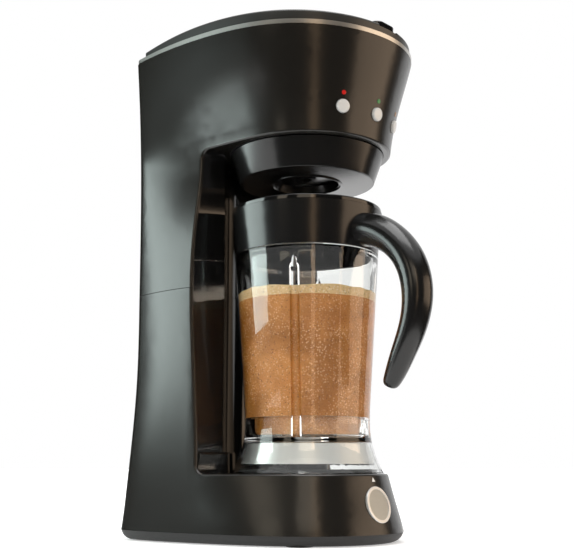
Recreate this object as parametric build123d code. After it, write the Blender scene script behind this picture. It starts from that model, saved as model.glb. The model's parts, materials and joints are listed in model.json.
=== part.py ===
from build123d import *
import os
from math import atan, cos, degrees, radians, sin, sqrt, tan
from typing import NamedTuple

# A frappe maker: a small drip brewer built over a blender jar, in millimetres.
# Everything is drawn about the jar's upright axis, the front towards -Y and the floor at Z = 0.
# The pieces are moved together at the end, so that the origin is under the middle of the whole.


class Station(NamedTuple):
    """Half widths of the housing's outline at one level."""

    level: float
    nose: float
    side: float
    rear: float


# Levels over the floor
FOOT_PROUD = 0.6
BASE_LOW = 7.3
BASE_TOP = 46.8
SEAM_LEVEL = 178.0
HEAD_LOW = 280.7
RIM_LEVEL = 355.8
RIM_TILT = 2.95

# Housing outline: nose radius about the jar's axis, half widths beside and behind the jar
BASE_NOSE = 67.3
BASE_SIDE = 80.0
BASE_REAR = 81.4
SHOULDER_NOSE = 56.9
SHOULDER_SIDE = 76.0
SHOULDER_REAR = 76.2
WAIST_SIDE = 71.0
WAIST_REAR = 70.0
HEAD_NOSE = 62.8
HEAD_SIDE = 66.0
HEAD_REAR = 72.0
RIM_NOSE = 80.9
RIM_SIDE = 84.0
RIM_REAR = 77.2
REAR_DEPTH = 115.0
REAR_CORNER = 14.0
REAR_DRAW = 11.0
SIDE_MIDDLE = 45.0
NOSE_SWEEP = 60.0

# Housing walls
WALL = 2.5
LINER_WALL = 2.4
LINER_STEP = 1.0
SEAM_GAP = 0.4
BASE_EDGE = 2.0
HEAD_EDGE = 2.0

# Bay that the jar stands in, seen from the side
BAY_FOOT = 38.2
BAY_WAIST = 48.2
BAY_WAIST_LEVEL = 190.0
BAY_HEAD = 45.4
BAY_CORNER = 7.0
BAY_REACH = 150.0
POCKET_RADIUS = 61.5
FOOT_POCKET_RADIUS = 57.5
PLINTH_TOP = 62.0
PLINTH_FRONT = 37.4
PLINTH_EDGE = 2.5

# Bottom cover and feet
COVER_FLUSH = 0.3
COVER_SWELL = 2.6
COVER_SWELL_INSET = 3.0
COVER_UNDERCUT = 6.6
COVER_PLATE = 2.5
SPIGOT_INSET = 4.1
SPIGOT_HEIGHT = 3.2
FOOT_RADIUS = 9.0
FOOT_RECESS = 1.0
FOOT_EDGE = 0.4
FOOT_SPOTS = ((58.0, REAR_DEPTH - 19.0), (44.0, -30.0))
VENT_LENGTH = 46.0
VENT_WIDTH = 3.0
VENT_PITCH = 8.0
VENT_COUNT = 7
BOSS_RADIUS = 4.2
BOSS_SPOTS = ((70.3, REAR_DEPTH - 25.0), (49.0, 22.0), (32.0, -41.0))
BOSS_BITE = 0.5
SCREW_HEAD = 2.8
SCREW_SHANK = 1.5
SCREW_LENGTH = 14.0

# Trim, lid and hinge, measured square to the tilted rim
TRIM_HEIGHT = 3.2
TRIM_INSET = 0.6
TRIM_WIDTH = 4.6
LID_INSET = 3.6
LID_GAP = 0.3
LID_HEIGHT = 11.2
LID_WALL = 2.2
LID_CROWN = 1150.0
LID_CROWN_MIDDLE = 18.0
LID_REAR = REAR_DEPTH - 14.0
LID_EDGE = 1.6
TAB_WIDTH = 22.0
TAB_REACH = 76.6
TAB_LENGTH = 18.0
TAB_THICKNESS = 5.4
TAB_DROP = 0.4
TAB_CLEAR = 12.0
TAB_CORNER = 6.0
TAB_EDGE = 1.2
HINGE_BACK = REAR_DEPTH - 8.5
HINGE_RISE = 4.4
HINGE_RADIUS = 3.6
HINGE_PIN = 2.0
HINGE_SPREAD = 40.0
KNUCKLE_WIDTH = 10.0
KNUCKLE_GAP = 0.3
LUG_WIDTH = 5.0

# Head: buttons, lights and the ring that holds the basket
PANEL_LEVEL = 299.8
PANEL_LEAN = 12.5
PANEL_NOSE = 65.8
BUTTON_ANGLES = {"power": -27.0, "brew": 0.0, "blend": 27.0}
BUTTON_RADIUS = 4.9
BUTTON_GAP = 0.3
BUTTON_PROUD = 2.2
BUTTON_TRAVEL = 1.6
BUTTON_FLANGE = 1.3
BUTTON_STEM = 1.6
LIGHT_RADIUS = 1.6
LIGHT_RISE = 9.4
LIGHT_PROUD = 0.4
BRACKET_RADIUS = 54.0
BRACKET_WALL = 2.0
BRACKET_HALF_SWEEP = 42.0
SWITCH_SIZE = 6.0
SWITCH_DEPTH = 2.6

# Brew basket and its ring
BASKET_LOW = 259.6
BASKET_LOW_RADIUS = 50.3
BASKET_BRIM_RADIUS = 57.6
BASKET_BRIM_GAP = 0.8
BASKET_WALL = 2.2
BASKET_NECK_RADIUS = 53.9
BASKET_NECK_TOP = 287.0
BASKET_NECK_SINK = 0.8
BASKET_EDGE = 0.9
BASKET_FLOOR = 2.6
MOUTH_RADIUS = 24.8
MOUTH_DEPTH = 5.0
MOUTH_LIP = 0.9
MOUTH_WALL = 1.8
MOUTH_TAPER = 2.4
SPOUT_RADIUS = 7.0
SPOUT_BORE = 4.0
SPOUT_RISE = 3.8
LUG_COUNT = 3
LUG_SWEEP = 34.0
LEDGE_SWEEP = 44.0
LUG_HEIGHT = 2.4
LUG_REACH = 1.7
RING_RADIUS = 57.7
RING_WALL = 1.8
RING_FLANGE = 2.0
RING_TOP = 290.5

# Filter and shower
FILTER_GAP = 3.2
FILTER_TOP_RADIUS = BASKET_NECK_RADIUS - BASKET_WALL - FILTER_GAP
FILTER_LOW_RADIUS = FILTER_TOP_RADIUS - 10.5
FILTER_WALL = 1.2
FILTER_RIM = 2.0
FILTER_BAND = 3.0
FILTER_FLOOR = 1.6
FILTER_RIBS = 8
FILTER_RIB_WIDTH = 3.0
MESH_WALL = 0.6
SHOWER_RADIUS = 26.0
SHOWER_PLATE = 1.6
SHOWER_HOLE = 1.2
SHOWER_HOLES = 8
SHOWER_RINGS = (8.0, 15.0, 22.0)
NIPPLE_RADIUS = 3.0
NIPPLE_BORE = 1.8

# Jar
JAR_FOOT_RADIUS = 54.1
JAR_WAIST_RADIUS = 44.7
JAR_WAIST_LEVEL = 82.0
JAR_TAPER_LEVEL = 92.0
JAR_SHOULDER_RADIUS = 52.6
JAR_SHOULDER_LEVEL = 204.0
JAR_WALL = 2.4
JAR_NECK_RADIUS = 51.0
JAR_NECK_TOP = 231.0
JAR_FLOOR_TOP = 71.0
JAR_FLOOR = 3.0
JAR_SEAT_GAP = 0.3
RIB_COUNT = 4
RIB_PHASE = 30.0
RIB_RADIUS = 3.7
RIB_SINK = 0.4
RIB_TOP = 188.0
RIB_TIP = 11.0
LEDGE_LOW = 84.0
LEDGE_TOP = 85.6
LEDGE_REACH = 1.4
NOTCH_RADIUS = 2.6
NOTCH_TURN = -61.0

# Collar, handle and jar lid
COLLAR_GAP = 0.2
COLLAR_LOW_RADIUS = 52.4
COLLAR_TOP_RADIUS = 55.9
COLLAR_TOP = 235.2
JAR_LID_TOP = 238.6
JAR_LID_RADIUS = 55.4
JAR_LID_GAP = 0.3
JAR_LID_EDGE = 1.0
SKIRT_RADIUS = 46.8
SKIRT_WALL = 2.0
SKIRT_LOW = 207.0
SLOT_COUNT = 16
SLOT_PHASE = 7.3
SLOT_WIDTH = 10.2
SLOT_LOW = 209.5
SLOT_TOP = 226.0
LID_HOLE_RADIUS = 17.0
FUNNEL_DEPTH = 6.0
GASKET_HEIGHT = 3.0
GASKET_LEVEL = 227.5
GASKET_GAP = 0.3
HANDLE_PATH = ((48.0, 217.5), (62.0, 215.0), (77.0, 207.0), (91.5, 190.0), (97.2, 165.5), (93.0, 144.5),
               (84.5, 126.5), (75.8, 110.0))
HANDLE_DEPTH = (25.0, 24.0, 22.5, 21.5, 20.5, 18.0, 15.5, 12.0)
HANDLE_WIDTH = (27.0, 26.0, 25.0, 23.5, 22.8, 21.3, 19.3, 14.6)
HANDLE_TIP = 6.4
HANDLE_TIP_SCALES = ((0.5, 0.88), (0.9, 0.54))
COVER_OFFSET = 3.5
PEG_RADIUS = 2.9
PEG_LENGTH = 6.0
PEG_GAP = 0.1

# Blade set in the jar's floor
CUP_GAP = 0.3
CUP_WALL = 2.0
CUP_LOW = 53.0
CUP_PLATE = 2.2
FLOOR_GASKET = 0.8
GASKET_RADIUS = 30.0
HUB_RADIUS = 10.0
HUB_LOW = 62.0
HUB_TOP = 75.0
NUT_RADIUS = 15.0
NUT_HEIGHT = 3.0
SHAFT_RADIUS = 4.0
SHAFT_GAP = 0.05
BUSH_RADIUS = 7.0
BUSH_LOW = 62.6
BUSH_TOP = 71.0
SEAL_HEIGHT = 2.2
SEAL_RADIUS = 7.6
BLADE_LEVEL = 81.0
BLADE_THICK = 1.6
BLADE_LENGTH = 20.0
BLADE_WIDTH = 12.0
BLADE_TIP_WIDTH = 6.0
BLADE_TILT = 24.0
BLADE_HUB = 8.0
CAP_NUT_RADIUS = 5.5
CAP_NUT_HEIGHT = 5.0

# Couplings between the motor and the blades
LOBE_COUNT = 6
LOBE_RADIUS = 2.2
LOBE_RING = 8.2
LOBE_GAP = 0.4
DRIVE_HEIGHT = 8.6
DRIVE_RISE = 1.6
DRIVEN_RADIUS = 14.0
DRIVEN_HEIGHT = 12.0
DRIVEN_WEB = 2.6

# Motor under the jar
MOTOR_RADIUS = 33.0
MOTOR_WALL = 1.5
MOTOR_LOW = 10.5
MOTOR_TOP = 36.5
MAGNET_WALL = 2.0
MAGNET_SWEEP = 130.0
MAGNET_END = 4.0
ROTOR_GAP = 0.7
ROTOR_SLOTS = 12
SLOT_DEPTH = 7.0
ROTOR_SLOT_WIDTH = 3.0
COMMUTATOR_RADIUS = 9.0
COMMUTATOR_HEIGHT = 4.5
PLATE_THICK = 2.0
EAR_RADIUS = 6.0
EAR_RING = 39.0
EAR_COUNT = 4
ISOLATOR_RADIUS = 5.2
ISOLATOR_HEIGHT = 2.0
FAN_RADIUS = 25.0
FAN_BLADES = 9
FAN_HEIGHT = 3.6
FAN_GAP = 1.0
SEAL_RING_RADIUS = 12.0
SEAT_RADIUS = 49.0
SEAT_WIDTH = 5.0
SEAT_HEIGHT = 2.6

# Water path in the column
TANK_GAP = 0.8
TANK_WALL = 1.8
TANK_SHALLOW = 316.0
TANK_DEEP = 205.0
TANK_DEEP_FRONT = REAR_DEPTH - 46.0
TANK_DEEP_SIDE = 24.0
TANK_FLANGE = 1.4
TANK_FLANGE_INSET = 1.3
HEATER_LEG = 40.0
HEATER_BACK = REAR_DEPTH - 24.0
HEATER_LOW = 22.0
HEATER_TOP = 72.0
HEATER_RADIUS = 7.5
HEATER_BEND = 16.0
HOSE_RADIUS = 4.6
HOSE_BORE = 3.0
RISER_LEVEL = 303.0
RISER_BEND = 12.0
VALVE_LEVEL = 150.0
VALVE_LENGTH = 22.0
VALVE_RADIUS = 8.0
THERMOSTAT_RADIUS = 6.5
THERMOSTAT_HEIGHT = 7.0

# Electrics
BOARD_SIZE = (56.0, 1.6, 62.0)
BOARD_BACK = REAR_DEPTH - 14.4
BOARD_LOW = 96.0
POST_RADIUS = 3.2
POST_INSET = 6.0
LOOM_RADIUS = 2.4
LOOM_LEVEL = 9.2
LOOM_BEND = 9.0
LOOM_BACK = REAR_DEPTH - 8.5
GROMMET_X = -52.0
GROMMET_LEVEL = 22.0
GROMMET_BORE = 3.6
GROMMET_RADIUS = 7.5
GROMMET_NECK = 5.6
GROMMET_FLANGE = 2.0

# Badge on the slope of the base
BADGE_LEVEL = 26.5
BADGE_RADIUS = 12.4
BADGE_RING = 2.0
BADGE_SINK = 2.0
BADGE_PROUD = 0.5

STANDING = (Align.CENTER, Align.CENTER, Align.MIN)
HANGING = (Align.CENTER, Align.CENTER, Align.MAX)

BASE_MIDDLE = Station((BASE_LOW + BASE_TOP) / 2, (BASE_NOSE + SHOULDER_NOSE) / 2,
                      (BASE_SIDE + SHOULDER_SIDE) / 2 - 0.2, (BASE_REAR + SHOULDER_REAR) / 2 - 0.3)
STATIONS = (
    Station(BASE_LOW, BASE_NOSE, BASE_SIDE, BASE_REAR),
    BASE_MIDDLE,
    Station(BASE_TOP, SHOULDER_NOSE, SHOULDER_SIDE, SHOULDER_REAR),
    Station((BASE_TOP + SEAM_LEVEL) / 2, SHOULDER_NOSE - 12.0, WAIST_SIDE + 1.2, WAIST_REAR + 0.4),
    Station(SEAM_LEVEL, SHOULDER_NOSE - 10.0, WAIST_SIDE, WAIST_REAR),
    Station(
        (SEAM_LEVEL + HEAD_LOW) / 2, HEAD_NOSE - 4.0, (WAIST_SIDE + HEAD_SIDE) / 2 + 0.8, WAIST_REAR + 0.6
    ),
    Station(HEAD_LOW, HEAD_NOSE, HEAD_SIDE, HEAD_REAR),
    Station((HEAD_LOW + RIM_LEVEL) / 2, (HEAD_NOSE + RIM_NOSE) / 2 - 1.5, (HEAD_SIDE + RIM_SIDE) / 2 - 1.5,
            (HEAD_REAR + RIM_REAR) / 2 - 0.5),
    Station(RIM_LEVEL, RIM_NOSE, RIM_SIDE, RIM_REAR),
    Station(RIM_LEVEL + 22.0, RIM_NOSE + 5.9, RIM_SIDE + 5.4, RIM_REAR + 2.0),
)
TOP_STATIONS = STATIONS[-3:]
RIM_LEAN = radians(RIM_TILT)
RIM = Plane(origin=(0, 0, RIM_LEVEL), x_dir=(1, 0, 0), z_dir=(0, -sin(RIM_LEAN), cos(RIM_LEAN)))


def outline(station, inset=0.0):
    """The housing's outline at a station: a round nose, bowed sides and a flat back."""
    nose = station.nose - inset
    side = station.side - inset
    rear = station.rear - inset
    back = REAR_DEPTH - inset
    corner = max(REAR_CORNER - inset, 2.0)
    draw = radians(REAR_DRAW)
    end = back - corner * (1 - sin(draw))
    centre = (rear - corner * cos(draw), end - corner * sin(draw))
    bend = (radians(90) + draw) / 2
    bend = (centre[0] + corner * cos(bend), centre[1] + corner * sin(bend))
    turn = (cos(radians(NOSE_SWEEP)), sin(radians(NOSE_SWEEP)))
    start = (nose * turn[1], -nose * turn[0])
    edges = [
        ThreePointArc((-start[0], start[1]), (0, -nose), start),
        Spline([start, (side, SIDE_MIDDLE), (rear, end)], tangents=[turn, (-sin(draw), cos(draw))]),
        ThreePointArc((rear, end), bend, (centre[0], back)),
        Line((centre[0], back), (-centre[0], back)),
        ThreePointArc((-centre[0], back), (-bend[0], bend[1]), (-rear, end)),
        Spline([(-rear, end), (-side, SIDE_MIDDLE), (-start[0], start[1])],
               tangents=[(-sin(draw), -cos(draw)), (turn[0], -turn[1])]),
    ]
    return Pos(0, 0, station.level) * make_face(Wire(edges))


def housing(inset=0.0, stations=STATIONS):
    """The housing as one solid, drawn in by an inset."""
    return loft([outline(station, inset) for station in stations])


def layer(low, high):
    """Everything between two levels."""
    return Pos(0, 0, (low + high) / 2) * Box(400, 400, high - low)


def rim_layer(low, high):
    """Everything between two heights over the tilted rim."""
    return RIM * (Pos(0, 0, (low + high) / 2) * Box(400, 400, high - low))


def tube(outer, inner, low, high):
    """An upright ring round the jar's axis."""
    height = high - low
    ring = Cylinder(outer, height, align=STANDING)
    ring -= Cylinder(inner, height, align=STANDING)
    return Pos(0, 0, low) * ring


def disc(radius, low, high, x=0.0, y=0.0):
    """An upright cylinder between two levels."""
    return Pos(x, y, low) * Cylinder(radius, high - low, align=STANDING)


def cone(low_radius, top_radius, low, high):
    """An upright cone between two levels."""
    return Pos(0, 0, low) * Cone(low_radius, top_radius, high - low, align=STANDING)


def sector(radius, sweep, low, high, middle=0.0):
    """A wedge about the jar's axis, middle degrees from the +X axis."""
    half = radians(sweep / 2)
    points = [(0, 0), (radius * cos(half), -radius * sin(half)), (radius * cos(half), radius * sin(half))]
    wedge = extrude(make_face(Polyline(*points, close=True)), high - low)
    return Rot(0, 0, middle) * (Pos(0, 0, low) * wedge)


def turned(points):
    """A solid of revolution about the jar's axis from (radius, level) corners."""
    return revolve(Plane.XZ * make_face(Polyline(*points, close=True)), Axis.Z)


def bay(behind=0.0):
    """The jar's bay as a solid across the housing, grown behind by a step."""
    low = BASE_TOP
    top = HEAD_LOW
    foot = BAY_FOOT + behind
    waist = BAY_WAIST + behind
    head = BAY_HEAD + behind
    corner = BAY_CORNER
    bend = corner * (1 - sqrt(0.5))
    edges = [
        Line((-BAY_REACH, low), (foot - corner, low)),
        ThreePointArc((foot - corner, low), (foot - bend, low + bend), (foot, low + corner)),
        Spline([(foot, low + corner), (waist, BAY_WAIST_LEVEL), (head, top - corner)],
               tangents=[(0.08, 1), (0, 1)]),
        ThreePointArc((head, top - corner), (head - bend, top - bend), (head - corner, top)),
        Line((head - corner, top), (-BAY_REACH, top)),
        Line((-BAY_REACH, top), (-BAY_REACH, low)),
    ]
    return extrude(Plane.YZ * make_face(Wire(edges)), 150, both=True)


def radial(angle, radius, level, lean=0.0):
    """A place on the head's nose, its z pointing outwards and down by the lean."""
    across = radians(angle)
    drop = radians(lean)
    normal = (sin(across) * cos(drop), -cos(across) * cos(drop), -sin(drop))
    side = (cos(across), sin(across), 0)
    return Plane(origin=(radius * sin(across), -radius * cos(across), level), x_dir=side, z_dir=normal)


def panel_spot(angle, rise=0.0):
    """The place of a button or light on the head's front."""
    radius = PANEL_NOSE + rise * tan(radians(PANEL_LEAN))
    return radial(angle, radius, PANEL_LEVEL + rise, PANEL_LEAN)


def badge_spot():
    """The place of the badge on the base's front slope."""
    share = (BADGE_LEVEL - BASE_LOW) / (BASE_TOP - BASE_LOW)
    lean = degrees(atan((BASE_NOSE - SHOULDER_NOSE) / (BASE_TOP - BASE_LOW)))
    return radial(0, BASE_NOSE + share * (SHOULDER_NOSE - BASE_NOSE), BADGE_LEVEL, -lean)


def mirrored_spots(spots):
    """Spots on the right and their mirror images on the left."""
    return [(side * x, y) for x, y in spots for side in (1, -1)]


def seam_low():
    """Level where the lower column ends."""
    return SEAM_LEVEL - SEAM_GAP / 2


def seam_high():
    """Level where the upper column starts."""
    return SEAM_LEVEL + SEAM_GAP / 2


def boss_top():
    """Level of the underside of the base's top."""
    return BASE_TOP - WALL


def cover_top():
    """Level of the bottom cover's inner face."""
    return FOOT_PROUD + COVER_PLATE


def plate(low, high):
    """A plate over or under the bay that reaches back behind the liner."""
    return Pos(0, POCKET_RADIUS + 2 * LINER_WALL - 200, (low + high) / 2) * Box(400, 400, high - low)


def edges_near(shape, level, reach, tolerance=0.05):
    """Edges that lie in one level and in front of a reach."""
    flat = shape.edges().filter_by(lambda edge: edge.bounding_box().size.Z < tolerance)
    level_edges = flat.filter_by(lambda edge: abs(edge.center().Z - level) < tolerance)
    return level_edges.filter_by(lambda edge: edge.bounding_box().max.Y < reach)


def base_shell(outer, inner):
    """Base and lower column in one moulding, open below and towards the liner."""
    shell = outer & layer(BASE_LOW, seam_low())
    shell -= bay()
    front = edges_near(shell, BASE_TOP, BAY_FOOT)
    shell = fillet(front, BASE_EDGE)
    shell -= (inner & layer(BASE_LOW - 5, seam_low() + 5)) - plate(BASE_TOP - WALL, BASE_TOP)
    high = boss_top() + BOSS_BITE
    bosses = [disc(BOSS_RADIUS, cover_top(), high, x, y) for x, y in mirrored_spots(BOSS_SPOTS)]
    bosses += [spot * disc(ISOLATOR_RADIUS, pad_top(), high) for spot in ear_spots()]
    shell += bosses + board_posts()
    bores = [disc(SCREW_SHANK, 0, cover_top() + SCREW_LENGTH, x, y) for x, y in mirrored_spots(BOSS_SPOTS)]
    bores += [spot * disc(SCREW_SHANK, pad_top() - 1, BASE_TOP - 1) for spot in ear_spots()]
    bores.append(disc(SEAL_RING_RADIUS, BASE_TOP - 2 * WALL, BASE_TOP + 1))
    hole = Rot(90, 0, 0) * Cylinder(GROMMET_NECK, 4 * WALL)
    bores.append(Pos(GROMMET_X, REAR_DEPTH - WALL / 2, GROMMET_LEVEL) * hole)
    bores.append(badge_spot() * Cylinder(BADGE_RADIUS, 2 * BADGE_SINK))
    return shell - bores


def board_posts():
    """Four posts from the rear wall to the circuit board."""
    wide, thick, tall = BOARD_SIZE
    start = BOARD_BACK + thick
    length = REAR_DEPTH - WALL - start + BOSS_BITE
    post = Rot(-90, 0, 0) * Cylinder(POST_RADIUS, length, align=STANDING)
    levels = (BOARD_LOW + POST_INSET, BOARD_LOW + tall - POST_INSET)
    return [Pos(side * (wide / 2 - POST_INSET), start, level) * post for side in (-1, 1) for level in levels]


def ear_spots():
    """Places of the motor plate's ears, turned about the motor's axis."""
    return [Rot(0, 0, 45 + ear * 360 / EAR_COUNT) * Pos(EAR_RING, 0, 0) for ear in range(EAR_COUNT)]


def pad_top():
    """Level of the top of the motor's soft pads."""
    return MOTOR_TOP + PLATE_THICK + ISOLATOR_HEIGHT


def upper_shell(outer, inner):
    """Upper column and flared head in one moulding, open towards the liner and at the rim."""
    shell = outer & layer(seam_high(), RIM_LEVEL + 40)
    shell -= bay()
    low_edge = edges_near(shell, HEAD_LOW, BAY_HEAD)
    shell = fillet(low_edge, HEAD_EDGE)
    shell -= (inner & layer(seam_high() - 5, RIM_LEVEL + 60)) - plate(HEAD_LOW, HEAD_LOW + WALL)
    bores = [rim_layer(0, 80), disc(RING_RADIUS + COLLAR_GAP, HEAD_LOW - 5, HEAD_LOW + 2 * WALL)]
    for angle in BUTTON_ANGLES.values():
        bores.append(panel_spot(angle) * Cylinder(BUTTON_RADIUS + BUTTON_GAP, 6 * WALL))
        bores.append(panel_spot(angle, LIGHT_RISE) * Cylinder(LIGHT_RADIUS, 6 * WALL))
    return shell - bores


def liner(inner, low, high):
    """The glossy inner wall of the column between two levels."""
    front = bay(LINER_STEP) + disc(POCKET_RADIUS, BASE_TOP - 20, HEAD_LOW + 20)
    back = bay(LINER_STEP + LINER_WALL) + disc(POCKET_RADIUS + LINER_WALL, BASE_TOP, HEAD_LOW)
    wall = (inner & layer(low, high)) & back
    wall -= front
    behind = Pos(0, 200 + BAY_FOOT - BAY_CORNER, (low + high) / 2) * Box(400, 400, high - low)
    return wall & behind


def liner_lower(inner):
    """Lower liner, with the plinth behind the jar's foot."""
    wall = liner(inner, BASE_TOP, seam_low())
    height = PLINTH_TOP - BASE_TOP
    depth = BAY_WAIST - PLINTH_FRONT + 6
    block = Pos(0, PLINTH_FRONT + depth / 2, BASE_TOP + height / 2) * Box(300, depth, height)
    block -= disc(FOOT_POCKET_RADIUS, BASE_TOP - 1, PLINTH_TOP + 1)
    block = block & inner
    reach = bay(LINER_STEP + LINER_WALL) + disc(POCKET_RADIUS + LINER_WALL, BASE_TOP, HEAD_LOW)
    block = block & reach
    top = block.edges().filter_by(lambda edge: abs(edge.center().Z - PLINTH_TOP) < 0.05)
    front = top.filter_by(lambda edge: abs(edge.center().Y - PLINTH_FRONT) < 0.05)
    block = fillet(front, PLINTH_EDGE)
    return wall + block


def liner_upper(inner):
    """Upper liner, from the seam to the head's floor."""
    return liner(inner, seam_high(), HEAD_LOW)


def base_station(level):
    """The outline of the base's lower edge, at any level."""
    return Station(level, BASE_NOSE, BASE_SIDE, BASE_REAR)


def bottom_cover():
    """The dark undercut cover that closes the base, with vents under the motor."""
    low = FOOT_PROUD
    levels = ((low, COVER_UNDERCUT), (COVER_SWELL, COVER_SWELL_INSET), (BASE_LOW, COVER_FLUSH))
    body = loft([outline(base_station(level), inset) for level, inset in levels])
    body += extrude(outline(base_station(BASE_LOW), SPIGOT_INSET), SPIGOT_HEIGHT)
    body -= extrude(outline(base_station(cover_top()), SPIGOT_INSET + COVER_PLATE), 2 * BASE_LOW)
    for x, y in mirrored_spots(BOSS_SPOTS):
        body -= disc(BOSS_RADIUS + 0.3, cover_top(), BASE_TOP, x, y)
        body -= disc(SCREW_SHANK + 0.2, 0, BASE_LOW, x, y)
        body -= disc(SCREW_HEAD + 0.2, 0, low + 1.2, x, y)
    for x, y in mirrored_spots(FOOT_SPOTS):
        body -= disc(FOOT_RADIUS, 0, low + FOOT_RECESS, x, y)
    for row in range(VENT_COUNT):
        y = (row - (VENT_COUNT - 1) / 2) * VENT_PITCH
        vent = extrude(SlotOverall(VENT_LENGTH, VENT_WIDTH), COVER_PLATE, both=True)
        body -= Pos(0, y, low + COVER_PLATE / 2) * vent
    return body


def rubber_feet():
    """Four round feet set in the bottom cover."""
    feet = []
    for x, y in mirrored_spots(FOOT_SPOTS):
        foot = disc(FOOT_RADIUS, 0, FOOT_PROUD + FOOT_RECESS, x, y)
        rim = foot.edges().filter_by(lambda edge: abs(edge.center().Z) < 0.01)
        feet.append(chamfer(rim, FOOT_EDGE))
    return Compound(feet)


def cover_screws():
    """Screws that hold the bottom cover to the base's bosses."""
    screws = []
    for x, y in mirrored_spots(BOSS_SPOTS):
        head = disc(SCREW_HEAD, FOOT_PROUD + 0.1, FOOT_PROUD + 1.2, x, y)
        shank = disc(SCREW_SHANK, FOOT_PROUD + 1.2, cover_top() + SCREW_LENGTH - 1, x, y)
        slot = Pos(x, y, FOOT_PROUD + 0.3) * Box(3.6, 0.8, 0.8)
        screws.append(head + shank - slot)
    return Compound(screws)


def hinge_place():
    """The lid's hinge axis, as a place square to the rim."""
    return RIM * Pos(0, HINGE_BACK, TRIM_HEIGHT + HINGE_RISE)


def cross_pin(x, radius, length):
    """A cylinder along X on the hinge axis."""
    return hinge_place() * (Pos(x, 0, 0) * (Rot(0, 90, 0) * Cylinder(radius, length)))


def top_trim(rim_inner):
    """The silver ring round the top, with a rear deck that carries the hinge lugs."""
    ring = housing(TRIM_INSET, TOP_STATIONS)
    opening = housing(TRIM_INSET + TRIM_WIDTH, TOP_STATIONS)
    rear = RIM * (Pos(0, LID_REAR + 1.2 + 100, 0) * Box(400, 200, 200))
    ring -= opening - rear
    ring = ring & rim_layer(0, TRIM_HEIGHT)
    flange_room = rim_inner & rim_layer(-1, TANK_FLANGE)
    ring -= flange_room
    for side in (-1, 1):
        for step in (-1, 1):
            x = side * HINGE_SPREAD + step * (KNUCKLE_WIDTH / 2 + KNUCKLE_GAP + LUG_WIDTH / 2)
            lug = cross_pin(x, HINGE_RADIUS, LUG_WIDTH)
            block = Box(LUG_WIDTH, 2 * HINGE_RADIUS, HINGE_RISE + 0.2)
            block = hinge_place() * (Pos(x, 0, -HINGE_RISE / 2) * block)
            ring += lug + block
            ring -= cross_pin(x, HINGE_PIN, LUG_WIDTH + 1)
    return ring


def lid_hinge_pins():
    """Two short pins through the lugs and the lid's knuckles."""
    length = KNUCKLE_WIDTH + 2 * KNUCKLE_GAP + 2 * LUG_WIDTH
    return Compound([cross_pin(side * HINGE_SPREAD, HINGE_PIN, length) for side in (-1, 1)])


def reservoir_lid():
    """The crowned lid over the water tank, with two knuckles at its rear."""
    low = TRIM_HEIGHT + LID_GAP
    top = TRIM_HEIGHT + LID_HEIGHT
    body = housing(LID_INSET, TOP_STATIONS) & rim_layer(low, top)
    body = body & (RIM * (Pos(0, LID_CROWN_MIDDLE, top - LID_CROWN) * Sphere(LID_CROWN)))
    body = body & (RIM * (Pos(0, LID_REAR - 200, 0) * Box(400, 400, 400)))
    crown = body.faces().sort_by(Axis.Z)[-1]
    body = fillet(crown.edges(), LID_EDGE)
    under = housing(LID_INSET + LID_WALL, TOP_STATIONS) & rim_layer(low - 5, top)
    under = under & (RIM * (Pos(0, LID_CROWN_MIDDLE, top - LID_CROWN) * Sphere(LID_CROWN - LID_WALL)))
    under = under & (RIM * (Pos(0, LID_REAR - LID_WALL - 200, 0) * Box(400, 400, 400)))
    body -= under
    for side in (-1, 1):
        x = side * HINGE_SPREAD
        reach = HINGE_BACK - LID_REAR + 1
        arm = hinge_place() * (Pos(x, -reach / 2, 0) * Box(KNUCKLE_WIDTH, reach, HINGE_RADIUS * 1.2))
        body += arm + cross_pin(x, HINGE_RADIUS, KNUCKLE_WIDTH)
        body -= cross_pin(x, HINGE_PIN + SHAFT_GAP, KNUCKLE_WIDTH + 1)
    return body - lift_tab_block(TAB_REACH + TAB_CLEAR)


def lift_tab_block(reach):
    """The lift tab's block, let into the lid's front and going forward to the reach."""
    level = TRIM_HEIGHT + LID_HEIGHT - TAB_DROP - TAB_THICKNESS / 2
    length = reach - TAB_REACH + TAB_LENGTH
    return RIM * (Pos(0, length / 2 - reach, level) * Box(TAB_WIDTH, length, TAB_THICKNESS))


def lift_tab():
    """The glossy tab that the lid is lifted by."""
    block = lift_tab_block(TAB_REACH)
    upright = block.edges().filter_by(Axis(RIM.origin, RIM.z_dir))
    front = upright.sort_by(Axis.Y)[:2]
    block = fillet(front, TAB_CORNER)
    top = block.faces().sort_by(Axis.Z)[-1]
    return fillet(top.edges(), TAB_EDGE)


def tank_form(inset, grow):
    """The tank's form inside the housing: shallow over the basket, deep in the column."""
    body = housing(inset, STATIONS[3:])
    shallow = layer(TANK_SHALLOW + grow, RIM_LEVEL + 60)
    width = WAIST_SIDE + TANK_DEEP_SIDE - 2 * grow
    x = (TANK_DEEP_SIDE - WAIST_SIDE) / 2
    height = TANK_SHALLOW + 20 - TANK_DEEP - grow
    deep = Pos(x, TANK_DEEP_FRONT + grow + 100, TANK_DEEP + grow + height / 2) * Box(width, 200, height)
    return body & (shallow + deep)


def water_tank():
    """The tank, hung by its flange on the rim, with an outlet at its lowest place."""
    outlet = disc(HOSE_BORE, TANK_DEEP - 8, TANK_DEEP + 1, -HEATER_LEG, HEATER_BACK)
    tank = tank_form(WALL + TANK_GAP, 0) - rim_layer(TANK_FLANGE / 2, 100)
    tank += housing(TANK_FLANGE_INSET, TOP_STATIONS) & rim_layer(0, TANK_FLANGE)
    tank += outlet
    tank -= tank_form(WALL + TANK_GAP + TANK_WALL, TANK_WALL)
    return tank - disc(NIPPLE_BORE, TANK_DEEP - 10, TANK_DEEP + 10, -HEATER_LEG, HEATER_BACK)


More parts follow.
